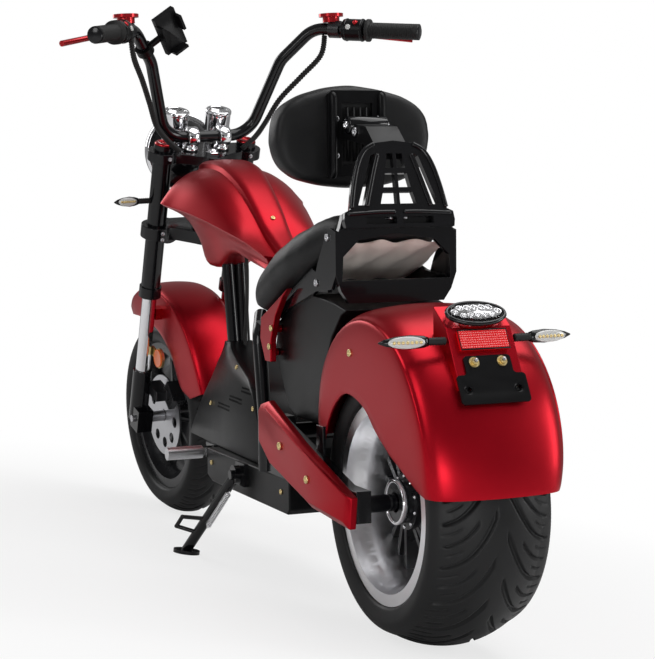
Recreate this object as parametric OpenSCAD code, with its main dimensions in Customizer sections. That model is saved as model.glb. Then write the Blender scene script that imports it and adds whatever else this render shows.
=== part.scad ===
// Electric chopper scooter with ape-hanger bars, a wide rear tyre and a backrest rack.
// Millimetres, +Z up. The front faces -Y and the left side is +X.
// The pieces are laid out upright on the bike's own centre plane, then the whole machine
// leans onto its side stand.

/* [Stance] */
// Distance between the wheel axles
wheelbase = 1322; // [1250:1:1400]
// Lean onto the side stand, degrees
lean = 9; // [7:0.5:11]
// Steering angle at which it parks, degrees to the left
steer_rest = 5.5; // [0:0.5:12]
// Rake of the steering axis, degrees
rake = 20.5; // [19:0.5:24]

/* [Rear wheel] */
// Radius of the rear tyre
rear_tyre_r = 236.5; // [232:0.5:240]
// Width of the rear tyre
rear_tyre_w = 210; // [204:1:214]
// Radius of the rear tyre's crown, side to side
rear_crown_r = 150; // [120:1:180]
// Width of the rear rim over its lips
rear_rim_w = 190; // [180:1:196]
// Radius of the rear hub
rear_hub_r = 36; // [32:1:42]
// Radius of the hub motor's drum
motor_r = 86; // [75:1:95]

/* [Front wheel] */
// Radius of the front tyre
front_tyre_r = 226; // [222:0.5:230]
// Width of the front tyre
front_tyre_w = 114; // [100:1:120]
// Radius of the front tyre's crown, side to side
front_crown_r = 62; // [58:1:75]
// Width of the front rim over its lips
front_rim_w = 84; // [76:1:90]
// Radius of the front hub
front_hub_r = 30; // [26:1:34]

/* [Wheels] */
// Radius of both rims at the lip
rim_r = 166; // [160:1:170]
// Thickness of the rims' walls
rim_wall = 7; // [5:0.5:9]
// Radius of the axles
axle_r = 8; // [7:0.5:10]

/* [Fork] */
// Half the distance between the fork legs
fork_half = 97; // [94:1:104]
// Radius of the black outer fork tubes
fork_tube_r = 21; // [18:0.5:24]
// Radius of the chrome legs
fork_leg_r = 16; // [13:0.5:18]
// Distance of the legs ahead of the steering axis
leg_offset = 38; // [34:1:42]
// Distance of the axle ahead of the steering axis
axle_offset = 20; // [14:1:30]
// Height of the dust seals above the axle, along the legs
seal_up = 300; // [270:1:320]
// Height of the lower clamp above the axle, along the legs
lower_clamp_up = 436; // [410:1:470]
// Height of the upper clamp above the axle, along the legs
upper_clamp_up = 634; // [610:1:660]

/* [Handlebar] */
// Radius of the handlebar tube
bar_r = 12.5; // [11:0.5:14]
// Half the width of the bar over the grips
bar_half = 358; // [330:1:390]
// Height of the grips above the floor plane
grip_z = 1050; // [1000:1:1100]
// Distance of the bar ends behind the front axle
bar_reach = 521; // [480:1:560]
// Radius of the grips
grip_r = 17; // [15:0.5:19]
// Length of each grip
grip_len = 118; // [105:1:130]

/* [Body] */
// Half the width of the tank over its wing tips
tank_half = 157; // [135:1:170]
// Height of the tank's top
tank_top = 800; // [780:1:820]
// Half the width of the rear fender
fender_half = 124; // [116:1:132]
// Thickness of the fenders
fender_t = 3.5; // [2.5:0.5:5]
// Half the width of the front fender
front_fender_half = 66; // [62:1:74]
// Half the width of the saddle
seat_half = 140; // [125:1:150]
// Half the width of the battery box
box_half = 114; // [100:1:118]

/* [Hidden] */
$fn = 48;

// Colours
red = [0.62, 0.03, 0.05];
black = [0.05, 0.05, 0.06];
chrome = [0.8, 0.8, 0.82];
rubber = [0.09, 0.09, 0.09];

box_top = 222;
cover_top = 424;

// Wheel places. A leaning tyre rests beside its centre line, so its axle sits a little lower
// than its radius and the floor touches its crown.
function axle_height(tyre_r, crown_r) = tyre_r - crown_r + crown_r / cos(lean);
rear_z = axle_height(rear_tyre_r, rear_crown_r);
// Turning the bars would lift the front tyre off the floor by this much
steer_lift = 0.7;
front_z = axle_height(front_tyre_r, front_crown_r) - steer_lift;
rear_y = wheelbase / 2;
front_y = -wheelbase / 2;

// The fork's own frame: origin on the front axle, z up along the legs, y to the rear
steer_axis = [0, sin(rake), cos(rake)];
axis_y = axle_offset;
leg_y = axis_y - leg_offset;
function fork_point(y, z) = [
    0,
    front_y + y * cos(rake) + z * sin(rake),
    front_z - y * sin(rake) + z * cos(rake)
];
steer_point = fork_point(axle_offset, 0);

module fork_frame() {
    translate([0, front_y, front_z])
        rotate([-rake, 0, 0])
            children();
}

module steered() {
    parked()
        translate(steer_point)
            rotate(a = steer_rest, v = steer_axis)
                translate(-steer_point)
                    children();
}

// The lean, and the move that brings the middle of the parked machine over the origin
bar_back = front_y + bar_reach - fork_point(axis_y, grip_z - front_z)[1];
bar_middle_x = grip_z * sin(lean) - bar_back * sin(steer_rest);
park_shift = [-bar_middle_x, 0, 0];

module parked() {
    translate(park_shift)
        rotate([0, lean, 0])
            children();
}

// Shape helpers
function lerp(a, b, t) = a + (b - a) * t;
function arc(c, r, a0, a1, n) =
    [for (i = [0:n]) c + r * [cos(lerp(a0, a1, i / n)), sin(lerp(a0, a1, i / n))]];
function flip_x(p) = [-p[0], p[1], p[2]];
function middle(points) = [for (p = points) 1] * points / len(points);

// Both sides of the bike
module pair() {
    children();
    mirror([1, 0, 0])
        children();
}

// An outline in side view, y to the right and z up, made from x0 to x1
module slab(outline, x0, x1) {
    translate([x0, 0, 0])
        rotate([90, 0, 90])
            linear_extrude(x1 - x0)
                polygon(outline);
}

// A closed skin through rings of as many points each. The rings follow one another, and each
// runs anticlockwise when seen from the last ring. Each end closes on its own middle.
module loft(rings) {
    n = len(rings[0]);
    last = len(rings) - 1;
    tip = (last + 1) * n;
    polyhedron(
        points = concat([for (ring = rings) each ring], [middle(rings[0]), middle(rings[last])]),
        faces = concat(
            [for (i = [0:n - 1]) [i, (i + 1) % n, tip]],
            [for (k = [0:last - 1]) for (i = [0:n - 1]) each [
                [k * n + i, (k + 1) * n + i, (k + 1) * n + (i + 1) % n],
                [k * n + i, (k + 1) * n + (i + 1) % n, k * n + (i + 1) % n]
            ]],
            [for (i = [0:n - 1]) [last * n + (i + 1) % n, last * n + i, tip + 1]]
        )
    );
}

// The same skin for rings that fold back on themselves, closed by flat ends
module shell_loft(rings) {
    n = len(rings[0]);
    last = len(rings) - 1;
    z = last * n;
    polyhedron(
        points = [for (ring = rings) each ring],
        faces = concat(
            [for (i = [0:n / 2 - 2]) each [[i, i + 1, n - 2 - i], [i, n - 2 - i, n - 1 - i]]],
            [for (k = [0:last - 1]) for (i = [0:n - 1]) each [
                [k * n + i, (k + 1) * n + i, (k + 1) * n + (i + 1) % n],
                [k * n + i, (k + 1) * n + (i + 1) % n, k * n + (i + 1) % n]
            ]],
            [for (i = [0:n / 2 - 2]) each [
                [z + i, z + n - 2 - i, z + i + 1], [z + i, z + n - 1 - i, z + n - 2 - i]
            ]]
        )
    );
}

// A straight round bar between two points
module rod(a, b, r) {
    d = b - a;
    len_xy = norm([d[0], d[1]]);
    translate(a)
        rotate([0, atan2(len_xy, d[2]), atan2(d[1], d[0])])
            cylinder(h = norm(d), r = r);
}

// A tube bent from straight lengths: torus bends of bend_r at the inner points
function unit(v) = v / norm(v);
// Each straight length ends a little inside its bend, which is a hair thicker
bend_lap = 1;
bend_step = 0.05;
module bent_tube(points, r, bend_r) {
    last = len(points) - 1;
    dirs = [for (i = [0:last - 1]) unit(points[i + 1] - points[i])];
    turns = [for (i = [0:last]) i == 0 || i == last ? 0 :
        acos(min(1, dirs[i - 1] * dirs[i]))];
    cuts = [for (t = turns) t == 0 ? 0 : bend_r * tan(t / 2) - bend_lap];
    for (i = [0:last - 1])
        rod(points[i] + dirs[i] * cuts[i], points[i + 1] - dirs[i] * cuts[i + 1], r);
    for (i = [1:last - 1])
        let (
            start = points[i] - dirs[i - 1] * (cuts[i] + bend_lap),
            up = unit(cross(dirs[i - 1], dirs[i])),
            out = unit(cross(dirs[i - 1], up)),
            centre = start - out * bend_r
        )
            multmatrix([
                [out[0], dirs[i - 1][0], up[0], centre[0]],
                [out[1], dirs[i - 1][1], up[1], centre[1]],
                [out[2], dirs[i - 1][2], up[2], centre[2]],
                [0, 0, 0, 1]
            ])
                rotate_extrude(angle = turns[i])
                    translate([bend_r, 0])
                        circle(r + bend_step);
}

// A thin cable along chosen points, with as many flat sides
module cable(points, r, sides) {
    last = len(points) - 1;
    dirs = [for (i = [0:last]) unit(points[min(i + 1, last)] - points[max(i - 1, 0)])];
    side = [for (d = dirs) unit(cross([0.31, 0.93, 0.17], d))];
    loft([for (i = [0:last]) let (e = side[i], f = cross(dirs[i], e))
        [for (k = [0:sides - 1]) points[i] + r * (e * cos(360 * k / sides) + f * sin(360 * k / sides))]]);
}

// A smooth run of points through a few chosen ones
function smooth_run(p, steps) = [
    for (i = [0:len(p) - 2]) for (s = [0:steps - 1])
        let (
            a = p[max(i - 1, 0)], b = p[i], c = p[i + 1], d = p[min(i + 2, len(p) - 1)],
            t = s / steps
        )
            0.5 * ((2 * b) + (c - a) * t + (2 * a - 5 * b + 4 * c - d) * t * t
                + (3 * b - a - 3 * c + d) * t * t * t),
    p[len(p) - 1]
];

// Wheels turn about the bike's own x axis
module on_axle(y, z) {
    translate([0, y, z])
        rotate([0, 90, 0])
            children();
}

// Tyre: an open rubber ring, with its beads on the rim's seats
bead_wall = 12;
tyre_wall = 9;
module tyre(r, w, crown_r, seat_w) {
    seat_r = rim_r - 12;
    edge = asin(0.36 * w / crown_r);
    function crown(a) = [r - crown_r + crown_r * cos(a), crown_r * sin(a)];
    half = [
        [seat_r, seat_w / 2 - bead_wall],
        [seat_r, seat_w / 2 - 0.3],
        [rim_r + 0.5, seat_w / 2 - 0.3],
        [rim_r + 0.5, seat_w / 2 + 3],
        [rim_r + 6, w / 2 - 5],
        [lerp(rim_r, r, 0.38), w / 2],
        crown(edge) + [-10, 0.1 * w],
        crown(edge),
        crown((edge + lean) / 2),
        crown(lean)
    ];
    inside = [crown(edge) - [tyre_wall + 4, 6], [rim_r + 8, w / 2 - tyre_wall - 6]];
    rotate_extrude($fn = 72)
        polygon(concat(
            half,
            [for (i = [len(half) - 1:-1:0]) [half[i][0], -half[i][1]]],
            [for (i = [1:-1:0]) [inside[i][0], -inside[i][1]]],
            inside
        ));
}

module rear_tyre() {
    color(rubber)
        parked()
            on_axle(rear_y, rear_z)
                tyre(rear_tyre_r, rear_tyre_w, rear_crown_r, rear_rim_w - 8);
}

module front_tyre() {
    color(rubber)
        steered()
            on_axle(front_y, front_z)
                tyre(front_tyre_r, front_tyre_w, front_crown_r, front_rim_w - 8);
}

// Rim barrel: lips outside, bead seats, and a well in the middle
module barrel(w, seat_r) {
    lip = 4;
    well = 12;
    rotate_extrude($fn = 96)
        polygon([
            [seat_r - rim_wall, -w / 2],
            [rim_r, -w / 2],
            [rim_r, -w / 2 + lip],
            [seat_r, -w / 2 + lip],
            [seat_r, -w / 2 + lip + bead_wall],
            [seat_r - well, -w / 2 + 2 * lip + 2 * bead_wall],
            [seat_r - well, w / 2 - 2 * lip - 2 * bead_wall],
            [seat_r, w / 2 - lip - bead_wall],
            [seat_r, w / 2 - lip],
            [rim_r, w / 2 - lip],
            [rim_r, w / 2],
            [seat_r - rim_wall, w / 2],
            [seat_r - rim_wall - 3, w / 2 - 16],
            [seat_r - well - rim_wall, w / 2 - 3 * lip - 2 * bead_wall],
            [seat_r - well - rim_wall, -w / 2 + 3 * lip + 2 * bead_wall],
            [seat_r - rim_wall - 3, -w / 2 + 16]
        ]);
}

// Spokes in groups, from the hub out to the barrel
spoke_phase = 32;
module spokes(count, places, hub_r, out_r, hub_w, out_w, thick) {
    for (k = [0:count - 1], place = places)
        rotate([0, 0, 360 * k / count + spoke_phase + place])
            rotate([90, 0, 0])
                linear_extrude(thick, center = true)
                    polygon([
                        [hub_r - 4, hub_w[0]], [out_r + 3, out_w[0]],
                        [out_r + 3, out_w[1]], [hub_r - 4, hub_w[1]]
                    ]);
}

rear_seat_r = rim_r - 12.3;
hub_face = 72;
motor_side = -66;

module rear_rim() {
    color(chrome)
        parked()
            on_axle(rear_y, rear_z)
                difference() {
                    union() {
                        barrel(rear_rim_w, rear_seat_r);
                        translate([0, 0, 4])
                            cylinder(h = hub_face - 4, r = rear_hub_r);
                        translate([0, 0, 4])
                            cylinder(h = hub_face - 22, r = rear_hub_r + 10);
                        spokes(5, [-15, 0, 15], rear_hub_r + 8, rear_seat_r - 12 - rim_wall,
                            [14, 46], [6, 26], 10);
                    }
                    translate([0, 0, -1])
                        cylinder(h = hub_face + 2, r = axle_r + 9);
                }
}

module hub_motor() {
    color(black)
        parked()
            on_axle(rear_y, rear_z)
                difference() {
                    union() {
                        translate([0, 0, motor_side])
                            cylinder(h = -motor_side + 3.7, r = motor_r);
                        translate([0, 0, motor_side - 8])
                            cylinder(h = 9, r = motor_r * 0.5);
                    }
                    translate([0, 0, motor_side - 9])
                        cylinder(h = -motor_side + 14, r = axle_r + 0.05);
                }
}

disc_t = 4;
rear_disc_r = 105;
disc_x = motor_side - 8 - disc_t;
arm_x = 124;
sleeve_r = 14;
module brake_disc(r, hole_r, holes) {
    difference() {
        cylinder(h = disc_t, r = r);
        translate([0, 0, -1])
            cylinder(h = disc_t + 2, r = hole_r);
        for (k = [0:holes - 1])
            rotate([0, 0, 360 * k / holes])
                translate([r * 0.68, 0, -1])
                    cylinder(h = disc_t + 2, r = r * 0.13);
    }
}

module rear_disc() {
    color(chrome)
        parked()
            on_axle(rear_y, rear_z)
                translate([0, 0, disc_x])
                    brake_disc(rear_disc_r, axle_r + 3, 9);
}

// Front wheel: cast black, many thin spokes
front_seat_r = rim_r - 12.3;
front_hub_half = 38;

module front_rim() {
    color(black)
        steered()
            on_axle(front_y, front_z)
                difference() {
                    union() {
                        barrel(front_rim_w, front_seat_r);
                        translate([0, 0, -front_hub_half])
                            cylinder(h = 2 * front_hub_half, r = front_hub_r);
                        spokes(5, [-13, 13], front_hub_r, front_seat_r - 12 - rim_wall,
                            [-16, 16], [-9, 9], 9);
                    }
                    translate([0, 0, -front_hub_half - 1])
                        cylinder(h = 2 * front_hub_half + 2, r = axle_r + 0.05);
                }
}

front_disc_r = 92;
module front_disc() {
    color(chrome)
        steered()
            on_axle(front_y, front_z)
                translate([0, 0, front_hub_half + 0.3])
                    brake_disc(front_disc_r, axle_r + 6, 9);
}

module front_axle() {
    color(chrome)
        steered()
            on_axle(front_y, front_z) {
                translate([0, 0, -fork_half - 24])
                    cylinder(h = 2 * fork_half + 48, r = axle_r);
                translate([0, 0, front_hub_half + disc_t + 1.3])
                    cylinder(h = fork_half - 21.2 - front_hub_half - disc_t - 1.3, r = axle_r + 5);
                translate([0, 0, -fork_half + 21.2])
                    cylinder(h = fork_half - 21.2 - front_hub_half - 1, r = axle_r + 5);
            }
}

// Fork legs: black outer tube above, chrome leg, cast foot that holds the axle
casting_up = 112;
tube_top_up = upper_clamp_up + 14;

module fork_legs() {
    color(black)
        steered()
            difference() {
                fork_frame()
                    pair()
                        translate([fork_half, leg_y, 0]) {
                            translate([0, 0, seal_up])
                                cylinder(h = tube_top_up - seal_up, r = fork_tube_r);
                            translate([0, 0, seal_up - 6])
                                cylinder(h = 24, r = fork_tube_r + 3.5);
                            translate([0, 0, casting_up - 20])
                                cylinder(h = seal_up - casting_up + 30, r = fork_leg_r);
                            translate([0, 0, -10])
                                cylinder(h = casting_up + 10, r = fork_leg_r + 5);
                            translate([-18, 0, -26])
                                cube([36, -leg_y + 24, 52]);
                        }
                translate([-fork_half - 40, front_y, front_z])
                    rotate([0, 90, 0])
                        cylinder(h = 2 * fork_half + 80, r = axle_r + 0.05);
            }
}

// Clamps: two plates across the legs, the stem between them
clamp_t = 22;
stem_r = 20;
module clamp_plate(up, t, depth) {
    reach = fork_tube_r + 12;
    translate([0, 0, up])
        linear_extrude(t)
            difference() {
                union() {
                    polygon([
                        [-fork_half, leg_y - reach], [fork_half, leg_y - reach],
                        [fork_half + 0.8 * reach, leg_y + 0.4 * reach], [0.6 * fork_half, axis_y - 6],
                        [0.6 * depth, axis_y + 0.75 * depth], [-0.6 * depth, axis_y + 0.75 * depth],
                        [-0.6 * fork_half, axis_y - 6], [-fork_half - 0.8 * reach, leg_y + 0.4 * reach]
                    ]);
                    for (s = [-1, 1])
                        translate([s * fork_half, leg_y])
                            circle(reach);
                    translate([0, axis_y])
                        circle(depth);
                }
                for (s = [-1, 1])
                    translate([s * fork_half, leg_y])
                        circle(fork_tube_r + 0.2);
            }
}

riser_x = 37;
bar_up = upper_clamp_up + 30;
bar_fwd = -14.6;
bar_y = fork_point(bar_fwd, bar_up)[1];
bar_z = fork_point(bar_fwd, bar_up)[2];

module fork_clamps() {
    color(black)
        steered()
            fork_frame() {
                clamp_plate(lower_clamp_up, clamp_t + 6, 32);
                clamp_plate(upper_clamp_up - clamp_t, clamp_t, 26);
                translate([0, axis_y, lower_clamp_up + 2])
                    cylinder(h = upper_clamp_up - lower_clamp_up - 4, r = stem_r);
            }
}

// Handlebar: one bent tube, symmetric
bar_path = [
    [0, bar_y, bar_z],
    [riser_x + 62, bar_y, bar_z],
    [150, bar_y + 70, grip_z - 42],
    [205, bar_y + 122, grip_z + 22],
    [bar_half, front_y + bar_reach, grip_z]
];
bend_r = 60;
module bar_core(r) {
    bent_tube(concat(
        [for (i = [len(bar_path) - 1:-1:1]) flip_x(bar_path[i])],
        [for (i = [1:len(bar_path) - 1]) bar_path[i]]
    ), r, bend_r);
}

module handlebar() {
    color(black)
        steered() {
            bar_core(bar_r);
            pair()
                riser();
        }
}

module riser() {
    fork_frame()
        translate([riser_x, bar_fwd, upper_clamp_up + 0.2])
            cylinder(h = bar_up - upper_clamp_up, r = 11);
    translate([riser_x, bar_y, bar_z])
        rotate([0, 90, 0])
            cylinder(h = 22, r = bar_r + 7, center = true);
}

grip_dir = unit(bar_path[4] - bar_path[3]);
grip_end = bar_path[4];

module grips() {
    color(rubber)
        steered()
            pair()
                difference() {
                    union() {
                        rod(grip_end - grip_dir * grip_len, grip_end + grip_dir * 4, grip_r);
                        rod(grip_end - grip_dir * grip_len, grip_end - grip_dir * (grip_len - 8), grip_r + 8);
                    }
                    rod(grip_end - grip_dir * (grip_len + 5), grip_end + grip_dir * 0.2, bar_r + 0.2);
                }
}

pod_len = 44;
lever_perch = grip_end - grip_dir * (grip_len + pod_len + 22);
module switch_pods() {
    color(black)
        steered()
            pair()
                difference() {
                    rod(grip_end - grip_dir * (grip_len + 4 + pod_len),
                        grip_end - grip_dir * (grip_len + 1), grip_r + 6);
                    rod(lever_perch, grip_end, bar_r + 0.2);
                }
}

module brake_levers() {
    color(red)
        steered()
            pair()
                difference() {
                    union() {
                        rod(lever_perch - grip_dir * 14, lever_perch + grip_dir * 10, bar_r + 6);
                        rod(lever_perch, lever_perch + [10, -52, 0], 9);
                        rod(lever_perch + [10, -52, 0], grip_end + [38, -88, -10], 6);
                        // Fluid reservoir with its lid
                        translate(lever_perch - grip_dir * 8 + [0, -6, bar_r + 2.5])
                            cylinder(h = 13, r = 18);
                        translate(lever_perch - grip_dir * 8 + [0, -6, bar_r + 14])
                            cylinder(h = 7, r = 26);
                    }
                    rod(lever_perch - grip_dir * 30, grip_end, bar_r + 0.2);
                }
}

cradle_dir = unit(bar_path[3] - bar_path[2]);
cradle_clamp = bar_path[2] + cradle_dir * 40;
cradle_c = [128, bar_y + 122, grip_z + 20];
module phone_cradle() {
    color(black)
        steered()
            difference() {
                union() {
                    rod(cradle_clamp - cradle_dir * 8, cradle_clamp + cradle_dir * 8, bar_r + 6);
                    rod(cradle_clamp, cradle_c, 7);
                    translate(cradle_c)
                        rotate([-25, 33, 0]) {
                            cube([52, 12, 88], center = true);
                            for (s = [-1, 1])
                                translate([s * 24, 10, 12])
                                    cube([6, 26, 34], center = true);
                            translate([0, 10, -42])
                                cube([34, 26, 6], center = true);
                        }
                }
                rod(cradle_clamp - cradle_dir * 20, cradle_clamp + cradle_dir * 20, bar_r + 0.2);
            }
}

left_loom = [
    lerp(bar_path[3], bar_path[4], 0.11) - [0, 0, bar_r + 0.6],
    [214, -308, grip_z - 36], [184, -344, grip_z - 78], [152, -388, grip_z - 124],
    [128, -414, grip_z - 172], [104, -418, grip_z - 202], [74, -424, grip_z - 227]
];
module looms() {
    color(black)
        steered()
            pair()
                cable(smooth_run(left_loom, 4), 6, 8);
}

// A cable that hangs from the tank into the centre cover
tank_cable_route = [
    [0, -216, 604.2], [0, -212, 570], [0, -216, 500], [0, -228, 440], [0, -229, 418.6]
];
module tank_cable() {
    color(black)
        parked()
            cable(smooth_run(tank_cable_route, 4), 4, 8);
}

lamp_r = 82;
lamp_y = front_y + 76;
lamp_z = 822;
clamp_front = leg_y - fork_tube_r - 12;
module headlamp() {
    color(black)
        steered() {
            translate([0, lamp_y, lamp_z])
                rotate([90, 0, 0])
                    rotate_extrude()
                        polygon([
                            [0, -76], [20, -76], [38, -62], [58, -38], [74, -12], [lamp_r, -8],
                            [lamp_r, 4], [lamp_r - 8, 8], [40, 14], [0, 16]
                        ]);
            fork_frame()
                translate([-22, clamp_front - 22.1, upper_clamp_up - clamp_t])
                    cube([44, 22, clamp_t]);
        }
}

gauge_r = 27;
gauge_x = 50;
gauge_back = -74;
module gauges() {
    color(chrome)
        steered()
            fork_frame()
                pair()
                    translate([gauge_x, gauge_back, upper_clamp_up + 0.1]) {
                        translate([-12, 0, 0])
                            cube([24, -gauge_back - 32, 4]);
                        cylinder(h = 66, r = gauge_r);
                    }
}

module horn() {
    color(black)
        steered()
            fork_frame()
                translate([50, clamp_front - 0.1, lower_clamp_up - 8])
                    rotate([90, 0, 0])
                        cylinder(h = 26, r = 26);
}

module indicator_body(len_out) {
    rotate([0, 90, 0]) {
        cylinder(h = 34, r = 6);
        translate([0, 0, 30])
            cylinder(h = len_out * 0.45, r1 = 8, r2 = 12);
        translate([0, 0, 30 + len_out * 0.45])
            cylinder(h = len_out * 0.5, r1 = 12, r2 = 3);
    }
}

module front_indicators() {
    color(black)
        steered()
            pair()
                difference() {
                    translate(fork_point(leg_y, 520) + [fork_half + fork_tube_r - 3, 0, 0])
                        indicator_body(58);
                    fork_frame()
                        translate([fork_half, leg_y, lower_clamp_up])
                            cylinder(h = 140, r = fork_tube_r + 0.2);
                }
}

module side_reflectors() {
    color("orange")
        steered()
            fork_frame()
                pair()
                    difference() {
                        union() {
                            translate([fork_half - 21, leg_y + 46, 160])
                                rotate([0, 90, 0])
                                    cylinder(h = 6, r = 22);
                            translate([fork_half - 21, leg_y, 150])
                                cube([5, 40, 20]);
                        }
                        translate([fork_half, leg_y, 100])
                            cylinder(h = 120, r = fork_leg_r + 0.2);
                    }
}

module front_caliper() {
    color(black)
        steered()
            difference() {
                fork_frame() {
                    rotate([-32, 0, 0])
                        translate([27, -26, 68])
                            cube([32, 52, 38]);
                    translate([50, leg_y, 58])
                        cube([34, 60, 24]);
                }
                translate([front_hub_half - 1.2, front_y, front_z])
                    rotate([0, 90, 0])
                        cylinder(h = disc_t + 3, r = front_disc_r + 2);
                fork_frame()
                    translate([fork_half, leg_y, -12])
                        cylinder(h = casting_up + 24, r = fork_leg_r + 5.2);
            }
}

// Front fender: a crowned blade that follows the tyre
front_fender_c = [front_y - 6, front_z + 8];
// angle, crown radius, half width, depth of the sides
front_fender_table = [
    [14, 284, front_fender_half - 6, 56], [25, 288, front_fender_half - 1, 88],
    [50, 292, front_fender_half, 84], [75, 294, front_fender_half, 74],
    [95, 294, front_fender_half - 2, 62], [112, 292, front_fender_half - 8, 40],
    [122, 289, front_fender_half - 18, 20]
];
function fender_ring(c, row, t) =
    let (
        a = row[0], r = row[1], w = row[2], d = row[3],
        section = [
            [w, r - 0.32 * w - d], [w, r - 0.32 * w], [0.93 * w, r - 0.17 * w],
            [0.75 * w, r - 0.075 * w], [0.4 * w, r - 0.02 * w], [0, r]
        ],
        outer = concat(section, [for (i = [len(section) - 2:-1:0]) [-section[i][0], section[i][1]]]),
        last = len(outer) - 1,
        inner = [for (i = [last:-1:0])
            [outer[i][0] * (w - t) / w, outer[i][1] - (i == 0 || i == last ? 0 : t)]]
    )
        [for (p = concat(outer, inner)) [p[0], c[0] + p[1] * cos(a), c[1] + p[1] * sin(a)]];

module front_fender() {
    color(red)
        steered() {
            shell_loft([for (row = front_fender_table) fender_ring(front_fender_c, row, fender_t)]);
            fork_frame()
                pair()
                    difference() {
                        translate([60, leg_y - 10, 236])
                            cube([36, 20, 30]);
                        translate([fork_half, leg_y, 220])
                            cylinder(h = 70, r = fork_leg_r + 0.2);
                    }
        }
}

// Rear fender: wide, crowned, with a wheel arch cut in each side
rear_fender_c = [rear_y - 28, rear_z + 52];
// angle, radius at the crown, half width, radius of the side's lower edge
rear_fender_table = [
    [-3, 266, fender_half - 10, 244], [2, 267, fender_half - 6, 192], [8, 268, fender_half - 4, 158],
    [18, 269, fender_half - 2, 126], [34, 270, fender_half, 106], [52, 271, fender_half, 98],
    [72, 270, fender_half, 104], [92, 266, fender_half, 114], [114, 256, fender_half, 130],
    [136, 240, fender_half, 136], [155, 219, fender_half, 141], [170, 204, fender_half, 147]
];
// The row with its lower edge turned into the depth of the sides
function sides(row) = [row[0], row[1], row[2], row[1] - 0.32 * row[2] - row[3]];
module rear_fender() {
    color(red)
        parked()
            shell_loft([for (row = rear_fender_table) fender_ring(rear_fender_c, sides(row), fender_t)]);
}

// Tank: a delta with drooping wings, a raised spine and hollow flanks down to the neck
// y of the spine, y of the wing, top, spine half width, half width, crease height,
// bottom height, bottom half width
tank_table = [
    [-386, -310, tank_top - 8, 44, tank_half - 14, 712, 600, 26],
    [-372, -296, tank_top, 46, tank_half, 712, 580, 28],
    [-300, -260, tank_top + 1, 44, 146, 704, 582, 30],
    [-230, -205, tank_top - 12, 40, 131, 694, 604, 34],
    [-160, -140, tank_top - 44, 34, 114, 678, 610, 38],
    [-90, -70, tank_top - 92, 30, 96, 658, 602, 42],
    [-30, -10, tank_top - 140, 26, 80, 640, 594, 46],
    [40, 45, tank_top - 180, 22, 60, 614, 584, 46]
];

function tank_ring(row) =
    let (
        half = [
            [row[7], row[6], 0.1],
            [lerp(row[7], row[4], 0.2), lerp(row[6], row[5], 0.4), 0.3],
            [lerp(row[7], row[4], 0.5), lerp(row[6], row[5], 0.76), 0.6],
            [row[4] * 0.96, row[5] - 5, 1],
            [row[4], row[5], 1],
            [lerp(row[3], row[4], 0.72), lerp(row[2] - 20, row[5], 0.5), 0.8],
            [lerp(row[3], row[4], 0.35), lerp(row[2] - 20, row[5], 0.13), 0.45],
            [row[3] + 3, row[2] - 19, 0.15],
            [row[3], row[2] - 9, 0.1],
            [row[3] * 0.6, row[2] - 1.5, 0]
        ]
    )
        concat(
            [for (i = [0:len(half) - 1]) [-half[i][0], lerp(row[0], row[1], half[i][2]), half[i][1]]],
            [for (i = [len(half) - 1:-1:0]) [half[i][0], lerp(row[0], row[1], half[i][2]), half[i][1]]]
        );

module tank() {
    color(red)
        parked()
            difference() {
                loft([for (row = tank_table) tank_ring(row)]);
                backbone(0.3);
            }
}

// Frame: twin down tubes from the head, lower cradle, side hoops and seat rails
head_low = fork_point(axis_y, lower_clamp_up + clamp_t + 7);
head_high = fork_point(axis_y, upper_clamp_up - clamp_t - 1);
neck_top = [0, -300, 622];
neck_foot = [11, -264, cover_top - 20];
module backbone(grow) {
    rod(lerp(head_low, head_high, 0.3), neck_top, 20 + grow);
    pair()
        rod([14, neck_top[1] + 4, neck_top[2]], neck_foot, 13 + grow);
}

pivot_y = 286;
pivot_z = 308;
module frame() {
    color(black)
        parked() {
            difference() {
                union() {
                    rod(head_low, head_high, stem_r + 8);
                    backbone(0);
                }
                rod(head_low - steer_axis * 5, head_high + steer_axis * 5, stem_r + 0.05);
                // The down tubes end flat on the centre cover
                translate([-50, neck_foot[1] - 50, cover_top - 100])
                    cube([100, 100, 100.3]);
            }
            pair() {
                // Hoops from under the saddle down to the battery box
                bent_tube([
                    [84, 92, 506], [108, 142, 470], [112, 178, 320], [112, 178, box_top + 0.3]
                ], 13, 40);
                // Seat rails
                slab([[112, 474], [140, 474], [300, 534], [420, 568], [470, 568], [470, 594], [420, 600],
                    [398, 605.7], [350, 585.7], [290, 557], [190, 504], [112, 496]], 98.3, 105.7);
                // Plates that carry the swingarm's pivot
                slab([
                    [176, box_top + 0.3], [318, box_top + 0.3], [318, 300], [296, 338], [260, 338], [176, 290]
                ], 100, 114);
            }
            // Pivot tube of the swingarm
            translate([-arm_x + 0.3, pivot_y, pivot_z])
                rotate([0, 90, 0])
                    cylinder(h = 2 * arm_x - 0.6, r = 16);
            stand_bracket();
        }
}

module stand_bracket() {
    slab([[40, 178], [88, 178], [88, box_top], [40, box_top]], box_half + 0.3, stand_x - 0.3);
    translate([stand_x - 1, stand_pivot[1], stand_pivot[2]])
        rotate([0, 90, 0])
            cylinder(h = 18, r = 6);
    translate([stand_x + 14.3, stand_pivot[1], stand_pivot[2]])
        rotate([0, 90, 0])
            cylinder(h = 6, r = 9);
}

module battery_box() {
    color(black)
        parked()
            slab([
                [-150, box_top], [-150, 168], [-120, 158], [290, 158], [300, 168], [300, box_top]
            ], -box_half, box_half);
}

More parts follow.
